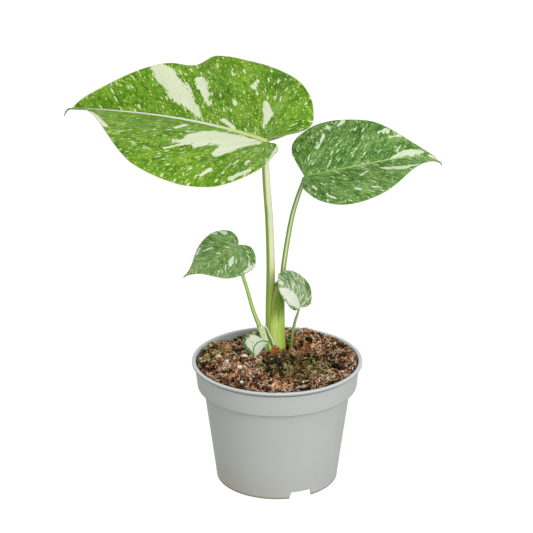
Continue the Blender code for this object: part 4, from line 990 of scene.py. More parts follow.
# The green under the cream: mottled in three sizes, deep to light, with fine grain.
tree, takes, gives = open_group("leaf green", (
    ("Veins", "Vector", None), ("Deep", "Color", None), ("Middle", "Color", None), ("Light", "Color", None)),
    (("Color", "Color"), ("Grain", "Float")))
broad = noise(tree, takes["Veins"], 15.0, 2.0, 0.5, (1.6, 1.0, 1.0))
patchy = noise(tree, takes["Veins"], 3.6, 4.0, 0.62, (1.7, 1.0, 1.0))
grain = noise(tree, takes["Veins"], 0.95, 3.0, 0.7, (1.3, 1.0, 1.0))
level = plus(tree, times(tree, broad, 0.5), times(tree, patchy, 0.8))
level = plus(tree, level, grain)
lower = tint(tree, fade(tree, level, 1.0, 1.13), takes["Deep"], takes["Middle"])
green = tint(tree, fade(tree, level, 1.13, 1.32), lower, takes["Light"])
tree.links.new(green, gives["Color"])
tree.links.new(grain, gives["Grain"])
leaf_green = tree


def leaf_finish(name, deep, middle, light, cream, fleck, rib_foot, rib_tip, flecks, streaks=0.0,
                roughness=0.42):
    """Leathery leaf: the three greens and the cream of the two groups, thin marks in a mix of
    fleck and light, a midrib that changes from its foot to its tip, a thin margin of the foot's
    colour, and a paler, duller underside.  flecks and streaks are how much of each there is."""
    made, tree, shader = new_finish(name, roughness, 0.2)
    uv = add_node(tree, "UVMap", {"uv_map": "veins"}).outputs[0]
    veins = add_node(tree, "VectorMath", {"operation": "SCALE"}, n0=uv, Scale=UV_UNIT).outputs[0]
    value = {key: attribute(tree, key) for key in ("cream", "stroke", "rib", "far", "edge", "under")}
    marks = place_group(tree, variegation, Veins=veins, Cream=value["cream"], Stroke=value["stroke"],
                        Flecks=flecks, Streaks=streaks)
    green = place_group(tree, leaf_green, Veins=veins, Deep=deep, Middle=middle, Light=light)
    blotch = noise(tree, veins, 2.5, 3.0, 0.6, (4.0, 1.0, 1.0))
    pale = tint(tree, fade(tree, blotch, 0.5, 0.8, 0.0, 0.35), cream, light)
    speck = tint(tree, 0.6, light, fleck)
    colour = tint(tree, fade(tree, marks["Mask"], 0.0, 0.6), green["Color"], speck)
    colour = tint(tree, fade(tree, marks["Mask"], 0.55, 0.95), colour, pale)
    short_of_tail = fade(tree, value["far"], 0.96, 0.88)
    margin = times(tree, fade(tree, value["edge"], 0.9, 0.35), short_of_tail)
    colour = tint(tree, times(tree, margin, 0.45), colour, rib_foot)
    rib_colour = tint(tree, fade(tree, value["far"], 0.1, 0.42), rib_foot, rib_tip)
    rib_line = times(tree, fade(tree, value["rib"], -0.12, 0.12), short_of_tail)
    colour = tint(tree, rib_line, colour, rib_colour)
    below = tint(tree, 0.45, colour, paint(164, 184, 140))
    tree.links.new(fade(tree, value["under"], 0.0, 1.0, roughness, 0.6), shader.inputs["Roughness"])
    fine_veins = noise(tree, veins, 1.0, 2.0, 0.5, (14.0, 1.3, 1.0))
    coat(tree, shader, tint(tree, value["under"], colour, below),
         plus(tree, fine_veins, times(tree, green["Grain"], 0.35)), 0.0003, 0.6)
    return made


# The largest leaf, held level at the top left, bright green with the boldest cream.
LARGE_LEAF = dict(
    foot=(-7.5, 20, 241.8), length=169.7,
    lobe=(0.138, 0.092), lobe_out=(0.122, 0.11), belly=(0.387, 0.271), half=(0.427, 0.372),
    tip=(0.025, -0.04), square=(0.73, 0.24), tail=(0.053, 0.004), hook=-62.9,
    heading=136.1, climb=3.5, bow=-6.3, nod=2.8,
    sway=34.7, roll=-26.5, twist=4.7, fold=(16.8, 5.5), fold_gain=(33, 17.3), curl=(-75.2, -26.3),
    waves=((3.1, 3.2, 2.1, -0.7, -0.3, -1, -0.2),
           (4.4, 2.8, -6, 2.7, 1.9, 3.9, 3.9)),
    ripples=((-1, 0.722, 4.7, 0.023), (-1, 0.747, -6.4, 0.023)),
    along=66, across=44, vein_gap=17.0, quilt=0.5, pucker=0.35, rib=1.6,
    short=(3, 36, 5, 0.6),
    bold=(
        ((65, -24, 2), (60, -21, 4), (50, -12, 4), (42, -7, 2), (36, -3, 0.5)),
        ((43, -6, 0.5), (35, -1, 0.2)),
        ((46, -23, 1.8), (44, -20, 2.2), (38, -12, 0.8), (33, -8, 0.3)), ((52, -21, 0.2), (44, -13, 0.3)),
        ((14, -18, 1), (9, -13, 2), (6, -5, 0.5)), ((27, -15, 0.5), (25, -13, 1)),
        ((26, -4, 1), (18, -1, 0.8)), ((23, -29, 0.7), (23, -24, 1.2)),
        ((31, 22, 0.5), (27, 15, 4), (22, 10, 5.5), (15, 8, 5), (9, 7, 5), (2, 3, 1.7)),
        ((11, 18, 2.5), (10, 12, 4)), ((23, 19, 1.5), (21, 15, 2.5)),
        ((27, 15, 1), (33, 23, 0.6)), ((26, 19, 0.8), (34, 28, 0.7)),
        ((80, 16, 0.6), (70, 26, 1.5), (66, 28, 1)), ((-8, 1, 0.4), (-13, 9, 1.4), (-14, 13, 0.3)),
        ((9, 31, 0.8), (7, 27, 1.2)), ((-5, 26, 1.3), (-10, 19, 1)), ((39, 12, 1), (38, 7, 1.3)),
    ))
make_leaf("leaf_large", LARGE_LEAF, leaf_finish(
    "leaf_large", paint(70, 122, 6), paint(106, 158, 26), paint(148, 194, 58), paint(238, 248, 212),
    paint(224, 238, 132), paint(226, 240, 150), paint(255, 255, 244), 1.0), "leaf_large", "blade_large")

# The right leaf, darker and bluer, with fewer and smaller strokes.
RIGHT_LEAF = dict(
    foot=(18.6, 15, 218.3), length=107,
    lobe=(0.023, 0.056), lobe_out=(0.195, 0.154), belly=(0.217, 0.161), half=(0.375, 0.379),
    tip=(0.433, 0.291), square=(0, 0), tail=(0.033, 0.005), hook=-31.7,
    heading=16.8, climb=5, bow=2.2, nod=-47.5,
    sway=5.3, roll=24.3, twist=9, fold=(14.2, 16.2), fold_gain=(16.4, 8.1), curl=(-47.6, -37.8),
    waves=((1.9, 0.1, -1.2, -0.3, 1.7, 2.7, -0.5),
           (0.1, -0.8, 1.1, 0.5, -1, -0.6, -0.8)),
    ripples=(),
    along=50, across=34, vein_gap=12.0, quilt=0.35, pucker=0.25, rib=0.82,
    short=(4, 30, 6, 0.9),
    bold=(
        ((33, 31, 0.6), (38, 34, 2)), ((22, 27, 1.3), (17, 21, 0.6)), ((32, 21, 1), (28, 17, 0.5)),
        ((16, 3, 0.4), (21, 9, 0.7)), ((41, 13, 0.5), (35, 9, 0.7)), ((56, 19, 0.5), (62, 20, 1)),
        ((62, 15, 0.5), (70, 15, 1)), ((59, 0, 0.8), (69, 3, 1.8), (76, 3, 2.4), (83, 4, 0.7)),
        ((49, -8, 0.7), (52, -10, 1.5), (64, -12, 1.6), (78, -9, 0.2)), ((1, -15, 1.5), (2, -18, 1)),
        ((25, -25, 0.8), (28, -26, 1.7)), ((8, -28, 1.2), (10, -30, 1.2)), ((36, -26, 1.1), (37, -29, 0.6)),
        ((34, -12, 1), (40, -9, 0.9)), ((87, 2, 0.8), (95, 1, 0.5)),
    ))
make_leaf("leaf_right", RIGHT_LEAF, leaf_finish(
    "leaf_right", paint(54, 102, 22), paint(94, 142, 54), paint(142, 182, 102), paint(222, 238, 204),
    paint(204, 222, 170), paint(146, 182, 86), paint(176, 204, 128), 0.95), "leaf_right", "blade_right")

# The left leaf, a small heart that hangs on its stalk with its tip to the left.
LEFT_LEAF = dict(
    foot=(-27, 15, 168), length=52.7,
    lobe=(0.12, 0.087), lobe_out=(0.175, 0.179), belly=(0.186, 0.182), half=(0.397, 0.366),
    tip=(0.377, 0.295), square=(0.01, 0.02), tail=(0.077, 0.014), hook=1,
    heading=224, climb=-15.3, bow=12.6, nod=-18.8,
    sway=-2.4, roll=-30.9, twist=5.7, fold=(-1.8, 3.8), fold_gain=(-2.4, -8.3), curl=(-62.7, -39.2),
    waves=((0.4, 0.7, -1.1, -0.6, 2.8, 1, 1.2),
           (0.3, 0.1, -0, 0.6, 1.4, -1.6, 0.4)),
    ripples=(),
    along=34, across=24, vein_gap=7.0, quilt=0.22, pucker=0.15, rib=0.55,
    short=(5, 14, 9, 1.2),
    bold=(
        ((5, -33, 1.5), (1, -25, 3)), ((56, -22, 1.5), (44, -28, 1.5)), ((46, -21, 1), (33, -18, 1.5)),
        ((19, 10, 1.5), (27, 15, 3.3), (32, 18, 2)), ((21, 37, 2), (12, 37, 3.3), (0, 34, 1.5)),
        ((9, 33, 2), (2, 24, 0.8)),
    ))
make_leaf("leaf_left", LEFT_LEAF, leaf_finish(
    "leaf_left", paint(84, 126, 52), paint(120, 160, 88), paint(162, 194, 128), paint(232, 242, 218),
    paint(210, 224, 190), paint(146, 172, 92), paint(156, 180, 110), 0.75), "leaf_left", "blade_left")

# The small leaf in front of the stem, tip up, cream across the half that faces down.
SMALL_LEAF = dict(
    foot=(16, 11.5, 122.8), length=29.3,
    lobe=(0.045, 0.04), lobe_out=(0.1, 0.15), belly=(0.377, 0.362), half=(0.359, 0.515),
    tip=(-0.056, 0.87), square=(0, 0), tail=(0.04, 0.016), hook=0,
    heading=203, climb=83.7, bow=-80.7, nod=2.4,
    sway=18.7, roll=-85.6, twist=6.1, fold=(34.3, 3.5), fold_gain=(-8.6, -13.3), curl=(-67.9, -53.5),
    waves=((0.2, 0.2, -0.6, -0.1, -0.2, 0.2, 0.4),
           (0, -0.6, 0.2, -0.2, 0.5, -0.6, -0.2)),
    ripples=(),
    along=28, across=20, vein_gap=5.0, quilt=0.15, pucker=0.1, rib=0.45,
    short=(6, 30, 18, 1.5),
    bold=(((93, 4, 4), (75, 12, 13), (44, 16, 17), (16, 10, 11), (2, 3, 3)),))
make_leaf("leaf_small", SMALL_LEAF, leaf_finish(
    "leaf_small", paint(78, 120, 48), paint(116, 154, 84), paint(164, 192, 134), paint(244, 248, 232),
    paint(230, 240, 214), paint(200, 214, 160), paint(236, 242, 220), 0.5, 0.65),
    "leaf_small", "blade_small")

# ---- baby leaf ------------------------------------------------------------------------------
# The newest leaf, still half unrolled: it arches over from the foot of the plant and lies on
# the mix, cream inside a deep green rim, and ends in a short curled tail.

# Its far margin, midrib, near margin and tail, in mm; the last number of the tail is a radius.
BABY_FAR = ((-5.8, 15, 94.4), (-9.7, 16, 95), (-13.6, 16.9, 98.1), (-19.4, 16, 101.4),
            (-23.9, 13.1, 98.2), (-23.5, 9.7, 94.3), (-20.6, 7.6, 90.1), (-15.5, 6.5, 87.6))
BABY_RIB = ((-5.8, 15, 94.4), (-10.4, 12.4, 96.6), (-13.7, 10.5, 96.1), (-16.1, 8.1, 94.1),
            (-16.6, 7.4, 91), (-15.5, 6.5, 87.6))
BABY_NEAR = ((-5.8, 15, 94.4), (-8.1, 13.2, 92.8), (-10.7, 10.5, 90.7), (-13.1, 7.3, 88.8),
             (-15.5, 6.5, 87.6))
BABY_TAIL = ((-15.6, 6.0, 88.1, 0.7), (-15.8, 3.6, 88.3, 0.75), (-15.0, 0.4, 88.6, 0.75),
             (-13.4, -2.6, 88.9, 0.7), (-11.2, -4.6, 89.2, 0.35))


def smooth_path(points, steps):
    """Catmull-Rom curve through the points, steps per span; any number of values per point."""
    pts = np.asarray(points, float)
    ends = np.vstack([2 * pts[0] - pts[1], pts, 2 * pts[-1] - pts[-2]])
    t = np.linspace(0.0, 1.0, steps, endpoint=False)[None, :, None]
    a, b, c, d = (ends[k:len(pts) - 1 + k, None, :] for k in range(4))
    curve = 0.5 * (2 * b + (c - a) * t + (2 * a - 5 * b + 4 * c - d) * t ** 2
                   + (3 * b - a - 3 * c + d) * t ** 3)
    return np.vstack([curve.reshape(-1, pts.shape[1]), pts[-1:]])


def run_of(path):
    """How far along the path each of its points lies."""
    return np.concatenate([[0.0], np.cumsum(np.linalg.norm(np.diff(path, axis=0), axis=1))])


def evenly(points, count):
    """The curve through the points, at count places an equal distance apart."""
    path = smooth_path(points, 12)
    run = run_of(path)
    return np.stack([np.interp(np.linspace(0.0, run[-1], count), run, path[:, k]) for k in range(3)], -1)


def make_sheet(name, grid, thickness, finish, slot, replaced, values):
    """A thin closed sheet from a grid of points (mm): each skin stands half the thickness off
    the grid along its normal, the cross product of the grid's two directions, and the margin
    is joined.  The sheet is thinner at its two long edges."""
    rows, cols = grid.shape[:2]
    normal = np.cross(np.gradient(grid, axis=1), np.gradient(grid, axis=0))
    normal /= np.linalg.norm(normal, axis=-1, keepdims=True) + 1e-9
    side = np.abs(np.linspace(-1.0, 1.0, cols))
    half = 0.5 * thickness * (1.0 - 0.6 * side ** 8)[None, :, None]
    skins = (grid + half * normal, grid - half * normal)
    points = np.concatenate([skin.reshape(-1, 3) for skin in skins]) * MM
    upper, rim, size = grid_faces(rows, cols), skin_rim(rows, cols, True), rows * cols
    faces = [upper, upper[:, ::-1] + size, np.concatenate([rim, rim[:, ::-1] + size], axis=1)]
    doubled = {key: np.tile(np.ravel(amounts), 2) for key, amounts in values.items()}
    return make_piece(name, points, faces, finish, slot, replaced, doubled, 0.01 * MM)


def section_axes(path):
    """The two directions that span each section of a path: the first is level, square to the
    path and to front and back, and the second is square to the first and to the path."""
    along = unit(np.gradient(path, axis=0))
    across = unit(np.cross(along, (0.0, 1.0, 0.0)))
    return across, np.cross(along, across)


def ring_round(turn, across, third):
    """A circle of radius 1 in each section: across * cos(turn) + third * sin(turn)."""
    turn = turn[None, :, None]
    return np.cos(turn) * across[:, None] + np.sin(turn) * third[:, None]


def make_stalk(name, route, finish, slot, replaced=(), sides=32, steps=8, flute=0.0):
    """A tapering stalk through the route's points (x, y, z, radius) in mm.  Round its axis a
    section is a circle, drawn in by flute at the side that faces the front.  right and front say
    which way each point faces, and run is its distance from the foot (mm)."""
    path = smooth_path(route, steps)
    centre, radius = path[:, :3], path[:, 3]
    across, third = section_axes(centre)
    turn = np.arange(sides) * 2.0 * np.pi / sides
    ring = ring_round(turn, across, third)
    girth = radius[:, None] * (1.0 - flute * np.exp(-((turn - 0.5 * np.pi) / 0.5) ** 2))
    points = (centre[:, None, :] + girth[:, :, None] * ring) * MM
    points[0, :, 2] = centre[0, 2] * MM
    run = run_of(centre)
    ends = [np.arange(sides)[None, ::-1], (len(path) - 1) * sides + np.arange(sides)[None]]
    values = {"right": np.tile(-np.cos(turn), (len(path), 1)),
              "front": np.tile(np.sin(turn), (len(path), 1)),
              "run": np.repeat(run[:, None], sides, axis=1)}
    return make_piece(name, points.reshape(-1, 3), [grid_faces(len(path), sides, True), *ends],
                      finish, slot, replaced, values)


baby_rows, baby_half = 60, 18
far, rib, near = (evenly(p, baby_rows) for p in (BABY_FAR, BABY_RIB, BABY_NEAR))
t = np.linspace(0.0, 1.0, baby_half + 1)[None, :, None]
arch = np.array((0.0, -0.35, 0.9))
far_half = far[:, None] * (1 - t) + rib[:, None] * t + arch * 4 * t * (1 - t) * 0.8
near_half = rib[:, None] * (1 - t) + near[:, None] * t + np.array((0.2, -0.9, 0.1)) * 4 * t * (1 - t) * 0.6
baby_grid = np.concatenate([far_half, near_half[:, 1:]], axis=1)
far_span = np.linalg.norm(far - rib, axis=1)[:, None]
near_span = np.linalg.norm(near - rib, axis=1)[:, None]
s = np.linspace(0.0, 1.0, baby_half + 1)[None, :]
baby_side = np.concatenate([-far_span * (1 - s), near_span * s[:, 1:]], axis=1)
baby_edge = np.concatenate([far_span * s, near_span * (1 - s[:, 1:])], axis=1)
baby_run = np.repeat(np.linspace(0.0, 1.0, baby_rows)[:, None], 2 * baby_half + 1, axis=1)

baby_finish, tree, shader = new_finish("leaf_curled", 0.4)
value = {key: attribute(tree, key) for key in ("side", "edge", "run")}
place = add_node(tree, "CombineXYZ", X=times(tree, value["run"], 26.0), Y=value["side"]).outputs[0]
torn = noise(tree, place, 1.5, 3.0, 0.6, (1.0, 2.0, 1.0))
stripes = noise(tree, place, 0.7, 2.0, 0.5, (1.0, 8.0, 1.0))
cream = tint(tree, fade(tree, stripes, 0.46, 0.68, 0.0, 0.6), paint(246, 250, 232), paint(190, 212, 160))
inset = plus(tree, value["edge"], swing(tree, torn, 7.0))
far_green = times(tree, fade(tree, inset, 3.1, 2.6), fade(tree, value["side"], -0.2, -0.8))
rim = ramp(tree, noise(tree, place, 0.9, 3.0, 0.6), (0.36, 44, 98, 30), (0.52, 84, 140, 60),
           (0.66, 178, 212, 156))
colour = tint(tree, far_green, cream, rim)
streaks = noise(tree, place, 1.1, 3.0, 0.6, (1.0, 4.0, 1.0))
middle = times(tree, fade(tree, value["side"], -3.4, -2.4), fade(tree, value["side"], -0.3, -1.2))
middle = times(tree, middle, fade(tree, streaks, 0.55, 0.62, 0.0, 0.85))
colour = tint(tree, middle, colour, paint(104, 156, 80))
rib_off = calc(tree, "ABSOLUTE", plus(tree, value["side"], swing(tree, torn, 0.9)))
rib_line = times(tree, fade(tree, rib_off, 0.6, 0.3), fade(tree, torn, 0.3, 0.45))
colour = tint(tree, rib_line, colour, paint(86, 140, 60))
near_tone = fade(tree, value["side"], 0.2, 1.2, 0.0, 0.3)
colour = tint(tree, near_tone, colour, paint(190, 212, 166))
coat(tree, shader, colour, stripes, 0.0004)
make_sheet("baby_leaf", baby_grid, 0.5, baby_finish, "leaf_curled", ("blade_curled",),
           {"side": baby_side, "edge": baby_edge, "run": baby_run})

tail_finish, tree, shader = new_finish("baby_tail", 0.5)
place = object_place(tree)
colour = tint(tree, noise(tree, place, 1.5 * MM, 2.0), paint(240, 244, 212), paint(206, 216, 168))
coat(tree, shader, colour)
make_stalk("baby_tail", BABY_TAIL, tail_finish, "leaf_curled", (), 12, 6)

# ---- stalks ---------------------------------------------------------------------------------
# Smooth round leaf stalks, striped along their length.  Each of the two main ones is green on
# one side and cream on the other, as the leaf that it carries is.
LARGE_STALK = ((-3, 23.4, 85.4, 2.9), (-4.4, 23.2, 94, 3.1), (-4.95, 23, 106, 3.15),
               (-4.9, 22.6, 124, 3.15), (-4.5, 22.1, 146.8, 3.05), (-4.9, 21.7, 166.4, 2.9),
               (-5.7, 21.3, 186.5, 2.8), (-7.1, 20.8, 206.5, 2.7), (-8.1, 20.5, 224, 2.5),
               (-8.1, 20.7, 236, 2.1), (-7.8, 20.5, 240.9, 1.5))
LEFT_STALK = ((-6.2, 18.3, 85.4, 2), (-7.1, 18.6, 90.9, 1.95), (-8.3, 19.1, 94.6, 1.85),
              (-10.9, 19.6, 100.3, 1.75), (-13.3, 19.6, 107.3, 1.6), (-17, 19.3, 117.6, 1.4),
              (-20.8, 17.4, 133, 1.3), (-23.9, 16.2, 144.3, 1.3), (-26, 15.8, 155, 1.2),
              (-27.2, 15.5, 167.2, 0.9))
SMALL_STALK = ((10, 22, 85.5, 1.2), (10.4, 20.3, 94, 1.15), (11.2, 18.3, 101.5, 1.1),
               (12.7, 15.6, 110.2, 1), (14.4, 13.2, 117, 0.9), (15.7, 11.7, 122, 0.6))
BABY_STALK = ((-2.6, 15, 85.5, 1.9), (-4, 14.8, 88.8, 2), (-5.2, 14.6, 91.2, 1.6),
              (-5.8, 14.8, 93.6, 0.8))


def stalk_finish(name, left, middle, right, turns=(-0.45, -0.1, 0.5, 0.9), foot=None, stain_and_painted_light=None):
    """Striped stalk: colour runs from left through middle to right as the surface turns, with
    fine lines along the length.  turns are the facings, -1 to 1, where each change starts and
    ends.  foot, if given, is (colour, height, depth), which fades in below a height, and
    stain_and_painted_light is (colour, low, high): the right side between two heights is stained
    that colour, which is pushed paler than its own as painted light against the shade there."""
    made, tree, shader = new_finish(name, 0.42, 0.45)
    facing = {key: attribute(tree, key) for key in ("right", "front", "run")}
    stripe_place = add_node(tree, "CombineXYZ", X=times(tree, facing["right"], 2.4),
                            Y=times(tree, facing["front"], 2.4),
                            Z=times(tree, facing["run"], 0.04)).outputs[0]
    lines = noise(tree, stripe_place, 0.55, 3.0, 0.6)
    turned_right = plus(tree, facing["right"], swing(tree, lines, 0.5))
    colour = tint(tree, fade(tree, turned_right, turns[0], turns[1]), left, middle)
    colour = tint(tree, fade(tree, turned_right, turns[2], turns[3]), colour, right)
    colour = tint(tree, fade(tree, lines, 0.5, 0.75, 0.0, 0.25), colour, paint(240, 246, 190))
    place = object_place(tree)
    level = add_node(tree, "SeparateXYZ", Vector=place).outputs[2]
    level = plus(tree, level, swing(tree, lines, 0.012))
    # Painted light: the right side's tan patch, its colour lifted to cancel the shade between the stalk and
    # the sheath.
    if stain_and_painted_light:
        spread = times(tree, fade(tree, level, stain_and_painted_light[2] + 0.006, stain_and_painted_light[2] - 0.010),
                      fade(tree, level, stain_and_painted_light[1] - 0.008, stain_and_painted_light[1] + 0.008))
        spread = times(tree, spread, fade(tree, turned_right, 0.0, 0.55))
        colour = tint(tree, times(tree, spread, 0.85), colour, stain_and_painted_light[0])
    if foot:
        colour = tint(tree, fade(tree, level, foot[1], foot[1] - foot[2], 0.0, 0.85), colour, foot[0])
    coat(tree, shader, colour, lines, 0.00025)
    return made


make_stalk("stalk_large", LARGE_STALK, stalk_finish(
    "stalk_large", paint(146, 184, 54), paint(242, 246, 206), paint(238, 238, 200),
    (-0.42, -0.08, 0.6, 0.95), (paint(166, 204, 70), 0.152, 0.026), (paint(255, 244, 156), 0.122, 0.156)),
    "stalk_large", ("stalk_large",))
make_stalk("stalk_left", LEFT_STALK, stalk_finish(
    "stalk_left", paint(148, 190, 66), paint(208, 236, 134), paint(164, 206, 84),
    (-0.6, -0.1, 0.3, 0.8)), "stalk_left", ("stalk_left",), flute=0.08)
make_stalk("stalk_small", SMALL_STALK, stalk_finish(
    "stalk_small", paint(134, 166, 82), paint(188, 208, 142), paint(150, 176, 98),
    (-0.7, -0.1, 0.3, 0.9), (paint(112, 162, 46), 0.104, 0.014)), "stalk_small", ("stalk_small",), 20)
make_stalk("stalk_baby", BABY_STALK, stalk_finish(
    "stalk_baby", paint(140, 184, 62), paint(190, 226, 100), paint(160, 200, 84),
    (-0.7, -0.1, 0.3, 0.9)), "stalk_curled", ("stalk_curled",), 20)

# ---- right stalk and its sheath -------------------------------------------------------------
# The right leaf's stalk widens at its foot into a fleshy sheath that clasps the large stalk
# from the right.  Each section is a C that opens to the left, out along an outer arc and back
# along an inner one, and turns into a circle where the stalk leaves the sheath.
RIGHT_STALK = ((4, 23.5, 141, 2), (4.7, 23.4, 150, 1.85), (6.8, 21.7, 166.4, 1.8),
               (10.2, 19.2, 187.3, 1.7), (14.2, 17, 203, 1.6), (17.3, 15.6, 212.5, 1.45),
               (18.3, 15.05, 217.3, 1.1))
# The sheath at rising heights: height in mm, half the angle it covers in degrees, and its
# thickness at the back in mm.
SHEATH = ((85.4, 85, 6), (92, 88, 6.9), (100, 88, 7.1), (106, 86, 7.1), (112, 80, 7),
          (118, 76, 6.9), (124, 72, 6.8), (130, 60, 6.7), (135, 46, 6.5))
SHEATH_EDGE = 0.7                # mm thick along its two lips
SHEATH_GAP = 0.3                 # mm between it and the large stalk
SHEATH_SQUASH = 0.93             # its outside is this much flatter from front to back
OUTER, INNER = 48, 24            # points along the outer and the inner arc

stalk = smooth_path(LARGE_STALK, 8)
clasp = smooth_path(SHEATH, 7)
level, cover, back = (clasp[:, k:k + 1] for k in range(3))
x0, y0, r0 = (np.interp(level, stalk[:, 2], stalk[:, k]) for k in (0, 1, 3))
hole = r0 + SHEATH_GAP
out_turn, back_turn = np.linspace(-1.0, 1.0, OUTER)[None], np.linspace(1.0, -1.0, INNER)[None]
sweep = np.radians(np.concatenate([cover * out_turn, cover * back_turn], axis=1))
wall = SHEATH_EDGE + (back - SHEATH_EDGE) * np.clip(np.cos(sweep), 0.0, None) ** 1.5
is_outer = np.arange(OUTER + INNER)[None] < OUTER
reach = np.where(is_outer, hole + wall, hole)
squash = np.where(is_outer, SHEATH_SQUASH, 1.0)
lower_rings = np.stack([x0 + reach * np.cos(sweep), y0 + reach * np.sin(sweep) * squash,
                        np.broadcast_to(level, sweep.shape)], -1)
path = smooth_path(RIGHT_STALK, 8)
side_way, third = section_axes(path[:, :3])
round_turn = np.concatenate([np.linspace(-110.0, 110.0, OUTER), np.linspace(114.0, 246.0, INNER)])
round_turn = np.radians(round_turn)
circle = ring_round(round_turn, -side_way, -third)
upper_rings = path[:, None, :3] + path[:, 3, None, None] * circle
rings = np.concatenate([lower_rings, upper_rings])
sides = OUTER + INNER
lip_gap = np.concatenate([np.concatenate([(1 - np.abs(out_turn)) * np.radians(cover) * (hole + 1.0),
                                          (1 - np.abs(back_turn)) * np.radians(cover) * hole], axis=1),
                          np.full((len(path), sides), 9.0)])
facing = np.concatenate([np.cos(sweep), np.tile(np.cos(round_turn), (len(path), 1))])
frontal = np.concatenate([-np.sin(sweep), np.tile(-np.sin(round_turn), (len(path), 1))])
ends = [np.arange(sides)[None, ::-1], (len(rings) - 1) * sides + np.arange(sides)[None]]

sheath_finish, tree, shader = new_finish("stalk_right", 0.4, 0.45)
place = object_place(tree)
height_up = add_node(tree, "SeparateXYZ", Vector=place).outputs[2]
value = {key: attribute(tree, key) for key in ("right", "front", "lip_gap")}
around = add_node(tree, "CombineXYZ", X=times(tree, value["right"], 8.0),
                  Y=times(tree, value["front"], 8.0), Z=times(tree, height_up, 30.0)).outputs[0]
lines = noise(tree, around, 0.55, 3.0, 0.6)
bands = noise(tree, around, 1.6, 2.0, 0.5)
low = ramp(tree, lines, (0.32, 196, 232, 92), (0.5, 232, 254, 134), (0.64, 248, 255, 196))
low = tint(tree, fade(tree, value["right"], 0.6, 0.95), low, paint(186, 222, 96))
high = ramp(tree, lines, (0.3, 98, 138, 14), (0.5, 128, 168, 36), (0.7, 168, 198, 78))
rise = plus(tree, height_up, swing(tree, bands, 0.016))
colour = tint(tree, fade(tree, rise, 0.106, 0.119), low, high)
# Painted light: the side that faces the large stalk takes a pale yellow-green, its real tint lifted well
# past its own to cancel the shade of the crevice.
olive_and_painted_light = times(tree, fade(tree, value["right"], 0.25, -0.35), fade(tree, height_up, 0.100, 0.118))
colour = tint(tree, times(tree, olive_and_painted_light, 0.8), colour, paint(248, 250, 140))
petiole = ramp(tree, plus(tree, times(tree, value["right"], 0.5), 0.5),
               (0.12, 122, 164, 48), (0.34, 172, 206, 96), (0.46, 255, 255, 240),
               (0.58, 248, 254, 210), (0.70, 172, 212, 80), (0.95, 136, 182, 52))
petiole = tint(tree, fade(tree, lines, 0.5, 0.7, 0.0, 0.3), petiole, paint(226, 234, 200))
colour = tint(tree, fade(tree, height_up, 0.134, 0.146), colour, petiole)
dry = times(tree, fade(tree, value["lip_gap"], 1.1, 0.3), fade(tree, height_up, 0.108, 0.120))
colour = tint(tree, times(tree, dry, 0.4), colour, paint(232, 226, 144))
coat(tree, shader, colour, lines, 0.0003)
make_piece("stalk_right", rings.reshape(-1, 3) * MM, [grid_faces(len(rings), sides, True), *ends],
           sheath_finish, "stalk_right", ("stalk_right",),
           {"right": facing, "front": frontal, "lip_gap": lip_gap})

# ---- left stalk's sheath --------------------------------------------------------------------
# A filmy wing joins the foot of the left stalk to the clump, and outside it stands a dried,
# papery strip of an older sheath.
DRY_SHEATH = ((-8.6, 20, 106.2, 0.3), (-7.9, 19.7, 104.8, 0.4), (-6.6, 18.4, 102.2, 0.45),
              (-5.1, 17.7, 98.8, 0.55), (-3.7, 17.2, 96.1, 0.6), (-2.4, 17, 91.8, 0.8))
WING_EDGE = ((-12.8, 18.0, 105.5), (-10.2, 17.4, 107.1), (-8.4, 18.2, 103.0), (-7.0, 17.8, 98.0),
             (-5.2, 17.3, 93.0), (-3.4, 16.9, 88.6))
WING_ROOT = ((-13.6, 17.4, 104.4), (-12.4, 17.0, 100.6), (-11.0, 16.9, 95.9), (-9.2, 16.4, 90.9),
             (-7.2, 16.0, 86.2))

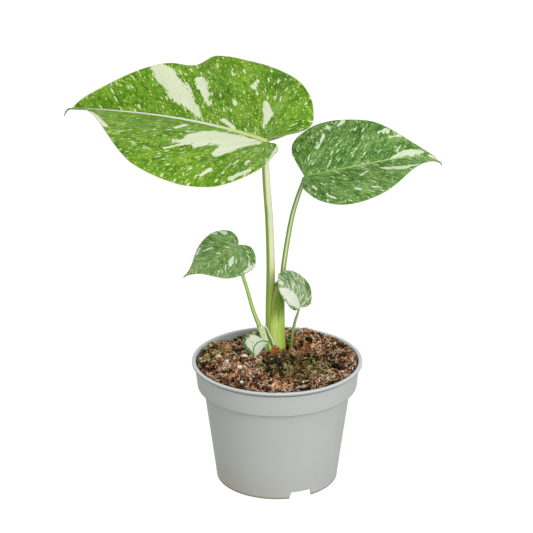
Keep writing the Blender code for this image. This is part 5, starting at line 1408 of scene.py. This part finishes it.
wing_finish, tree, shader = new_finish("wing", 0.45)
place = object_place(tree)
lines = noise(tree, place, 0.7 * MM, 3.0, 0.6, (1.0, 1.0, 7.0))
spots = fade(tree, noise(tree, place, 1.6 * MM, 2.0), 0.62, 0.7)
colour = ramp(tree, lines, (0.3, 204, 230, 134), (0.5, 232, 250, 180), (0.7, 252, 255, 228))
colour = tint(tree, times(tree, spots, 0.5), colour, paint(112, 134, 62))
coat(tree, shader, colour, lines, 0.0003)
outer_edge, inner_edge = evenly(WING_EDGE, 30), evenly(WING_ROOT, 30)
t = np.linspace(0.0, 1.0, 12)[None, :, None]
wing_grid = inner_edge[:, None] * (1 - t) + outer_edge[:, None] * t
wing_grid = wing_grid + np.array((0.0, -0.7, 0.0)) * 4 * t * (1 - t)
make_sheet("sheath_wing", wing_grid, 0.35, wing_finish, "stalk_left", (), {})

dry_finish = grainy_finish("dry_sheath", 0.7, 0.3, 0.5 * MM, 0.6, (1.0, 1.0, 9.0), 0.0004,
                           (0.3, 226, 230, 208), (0.5, 246, 248, 238), (0.7, 252, 253, 248))
path = smooth_path(DRY_SHEATH, 8)
t = np.linspace(-1.0, 1.0, 9)[None, :, None]
width = path[:, None, 3:4]
strip = path[:, None, :3] + width * np.concatenate([t, 0.5 * t * t, 0.35 * t], axis=-1)
make_sheet("dry_sheath", strip, 0.3, dry_finish, "dry_sheath", ("dry_sheath",), {})

# ---- surface root ---------------------------------------------------------------------------
# A pale wiry root that loops over the mix at the right: a thin tapering stalk that leaves the
# mix, arches forward and goes back into it.
ROOT = ((28.4, -13.0, 87.2, 0.25), (30.4, -18.6, 89.0, 0.35), (33.0, -22.0, 89.3, 0.42),
        (36.0, -24.0, 89.2, 0.42), (39.4, -25.0, 88.8, 0.36), (42.8, -22.0, 87.3, 0.2))
root_finish, tree, shader = new_finish("root", 0.65)
place = object_place(tree)
colour = tint(tree, noise(tree, place, 1.5 * MM, 3.0), paint(226, 208, 168), paint(176, 142, 96))
coat(tree, shader, colour)
make_stalk("surface_root", ROOT, root_finish, "root", ("surface_root",), 12, 6)

# ---- stem -----------------------------------------------------------------------------------
# The short knobby stem that every stalk grows from, all but its top buried in the mix.  It
# stays the plain solid and only takes a finish.
stem_finish, tree, shader = new_finish("stem", 0.6)
place = object_place(tree)
colour = ramp(tree, noise(tree, place, 3 * MM, 3.0), (0.35, 96, 84, 48), (0.65, 150, 160, 92))
coat(tree, shader, colour)
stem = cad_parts["crown"]
stem.data.materials.clear()
stem.data.materials.append(stem_finish)
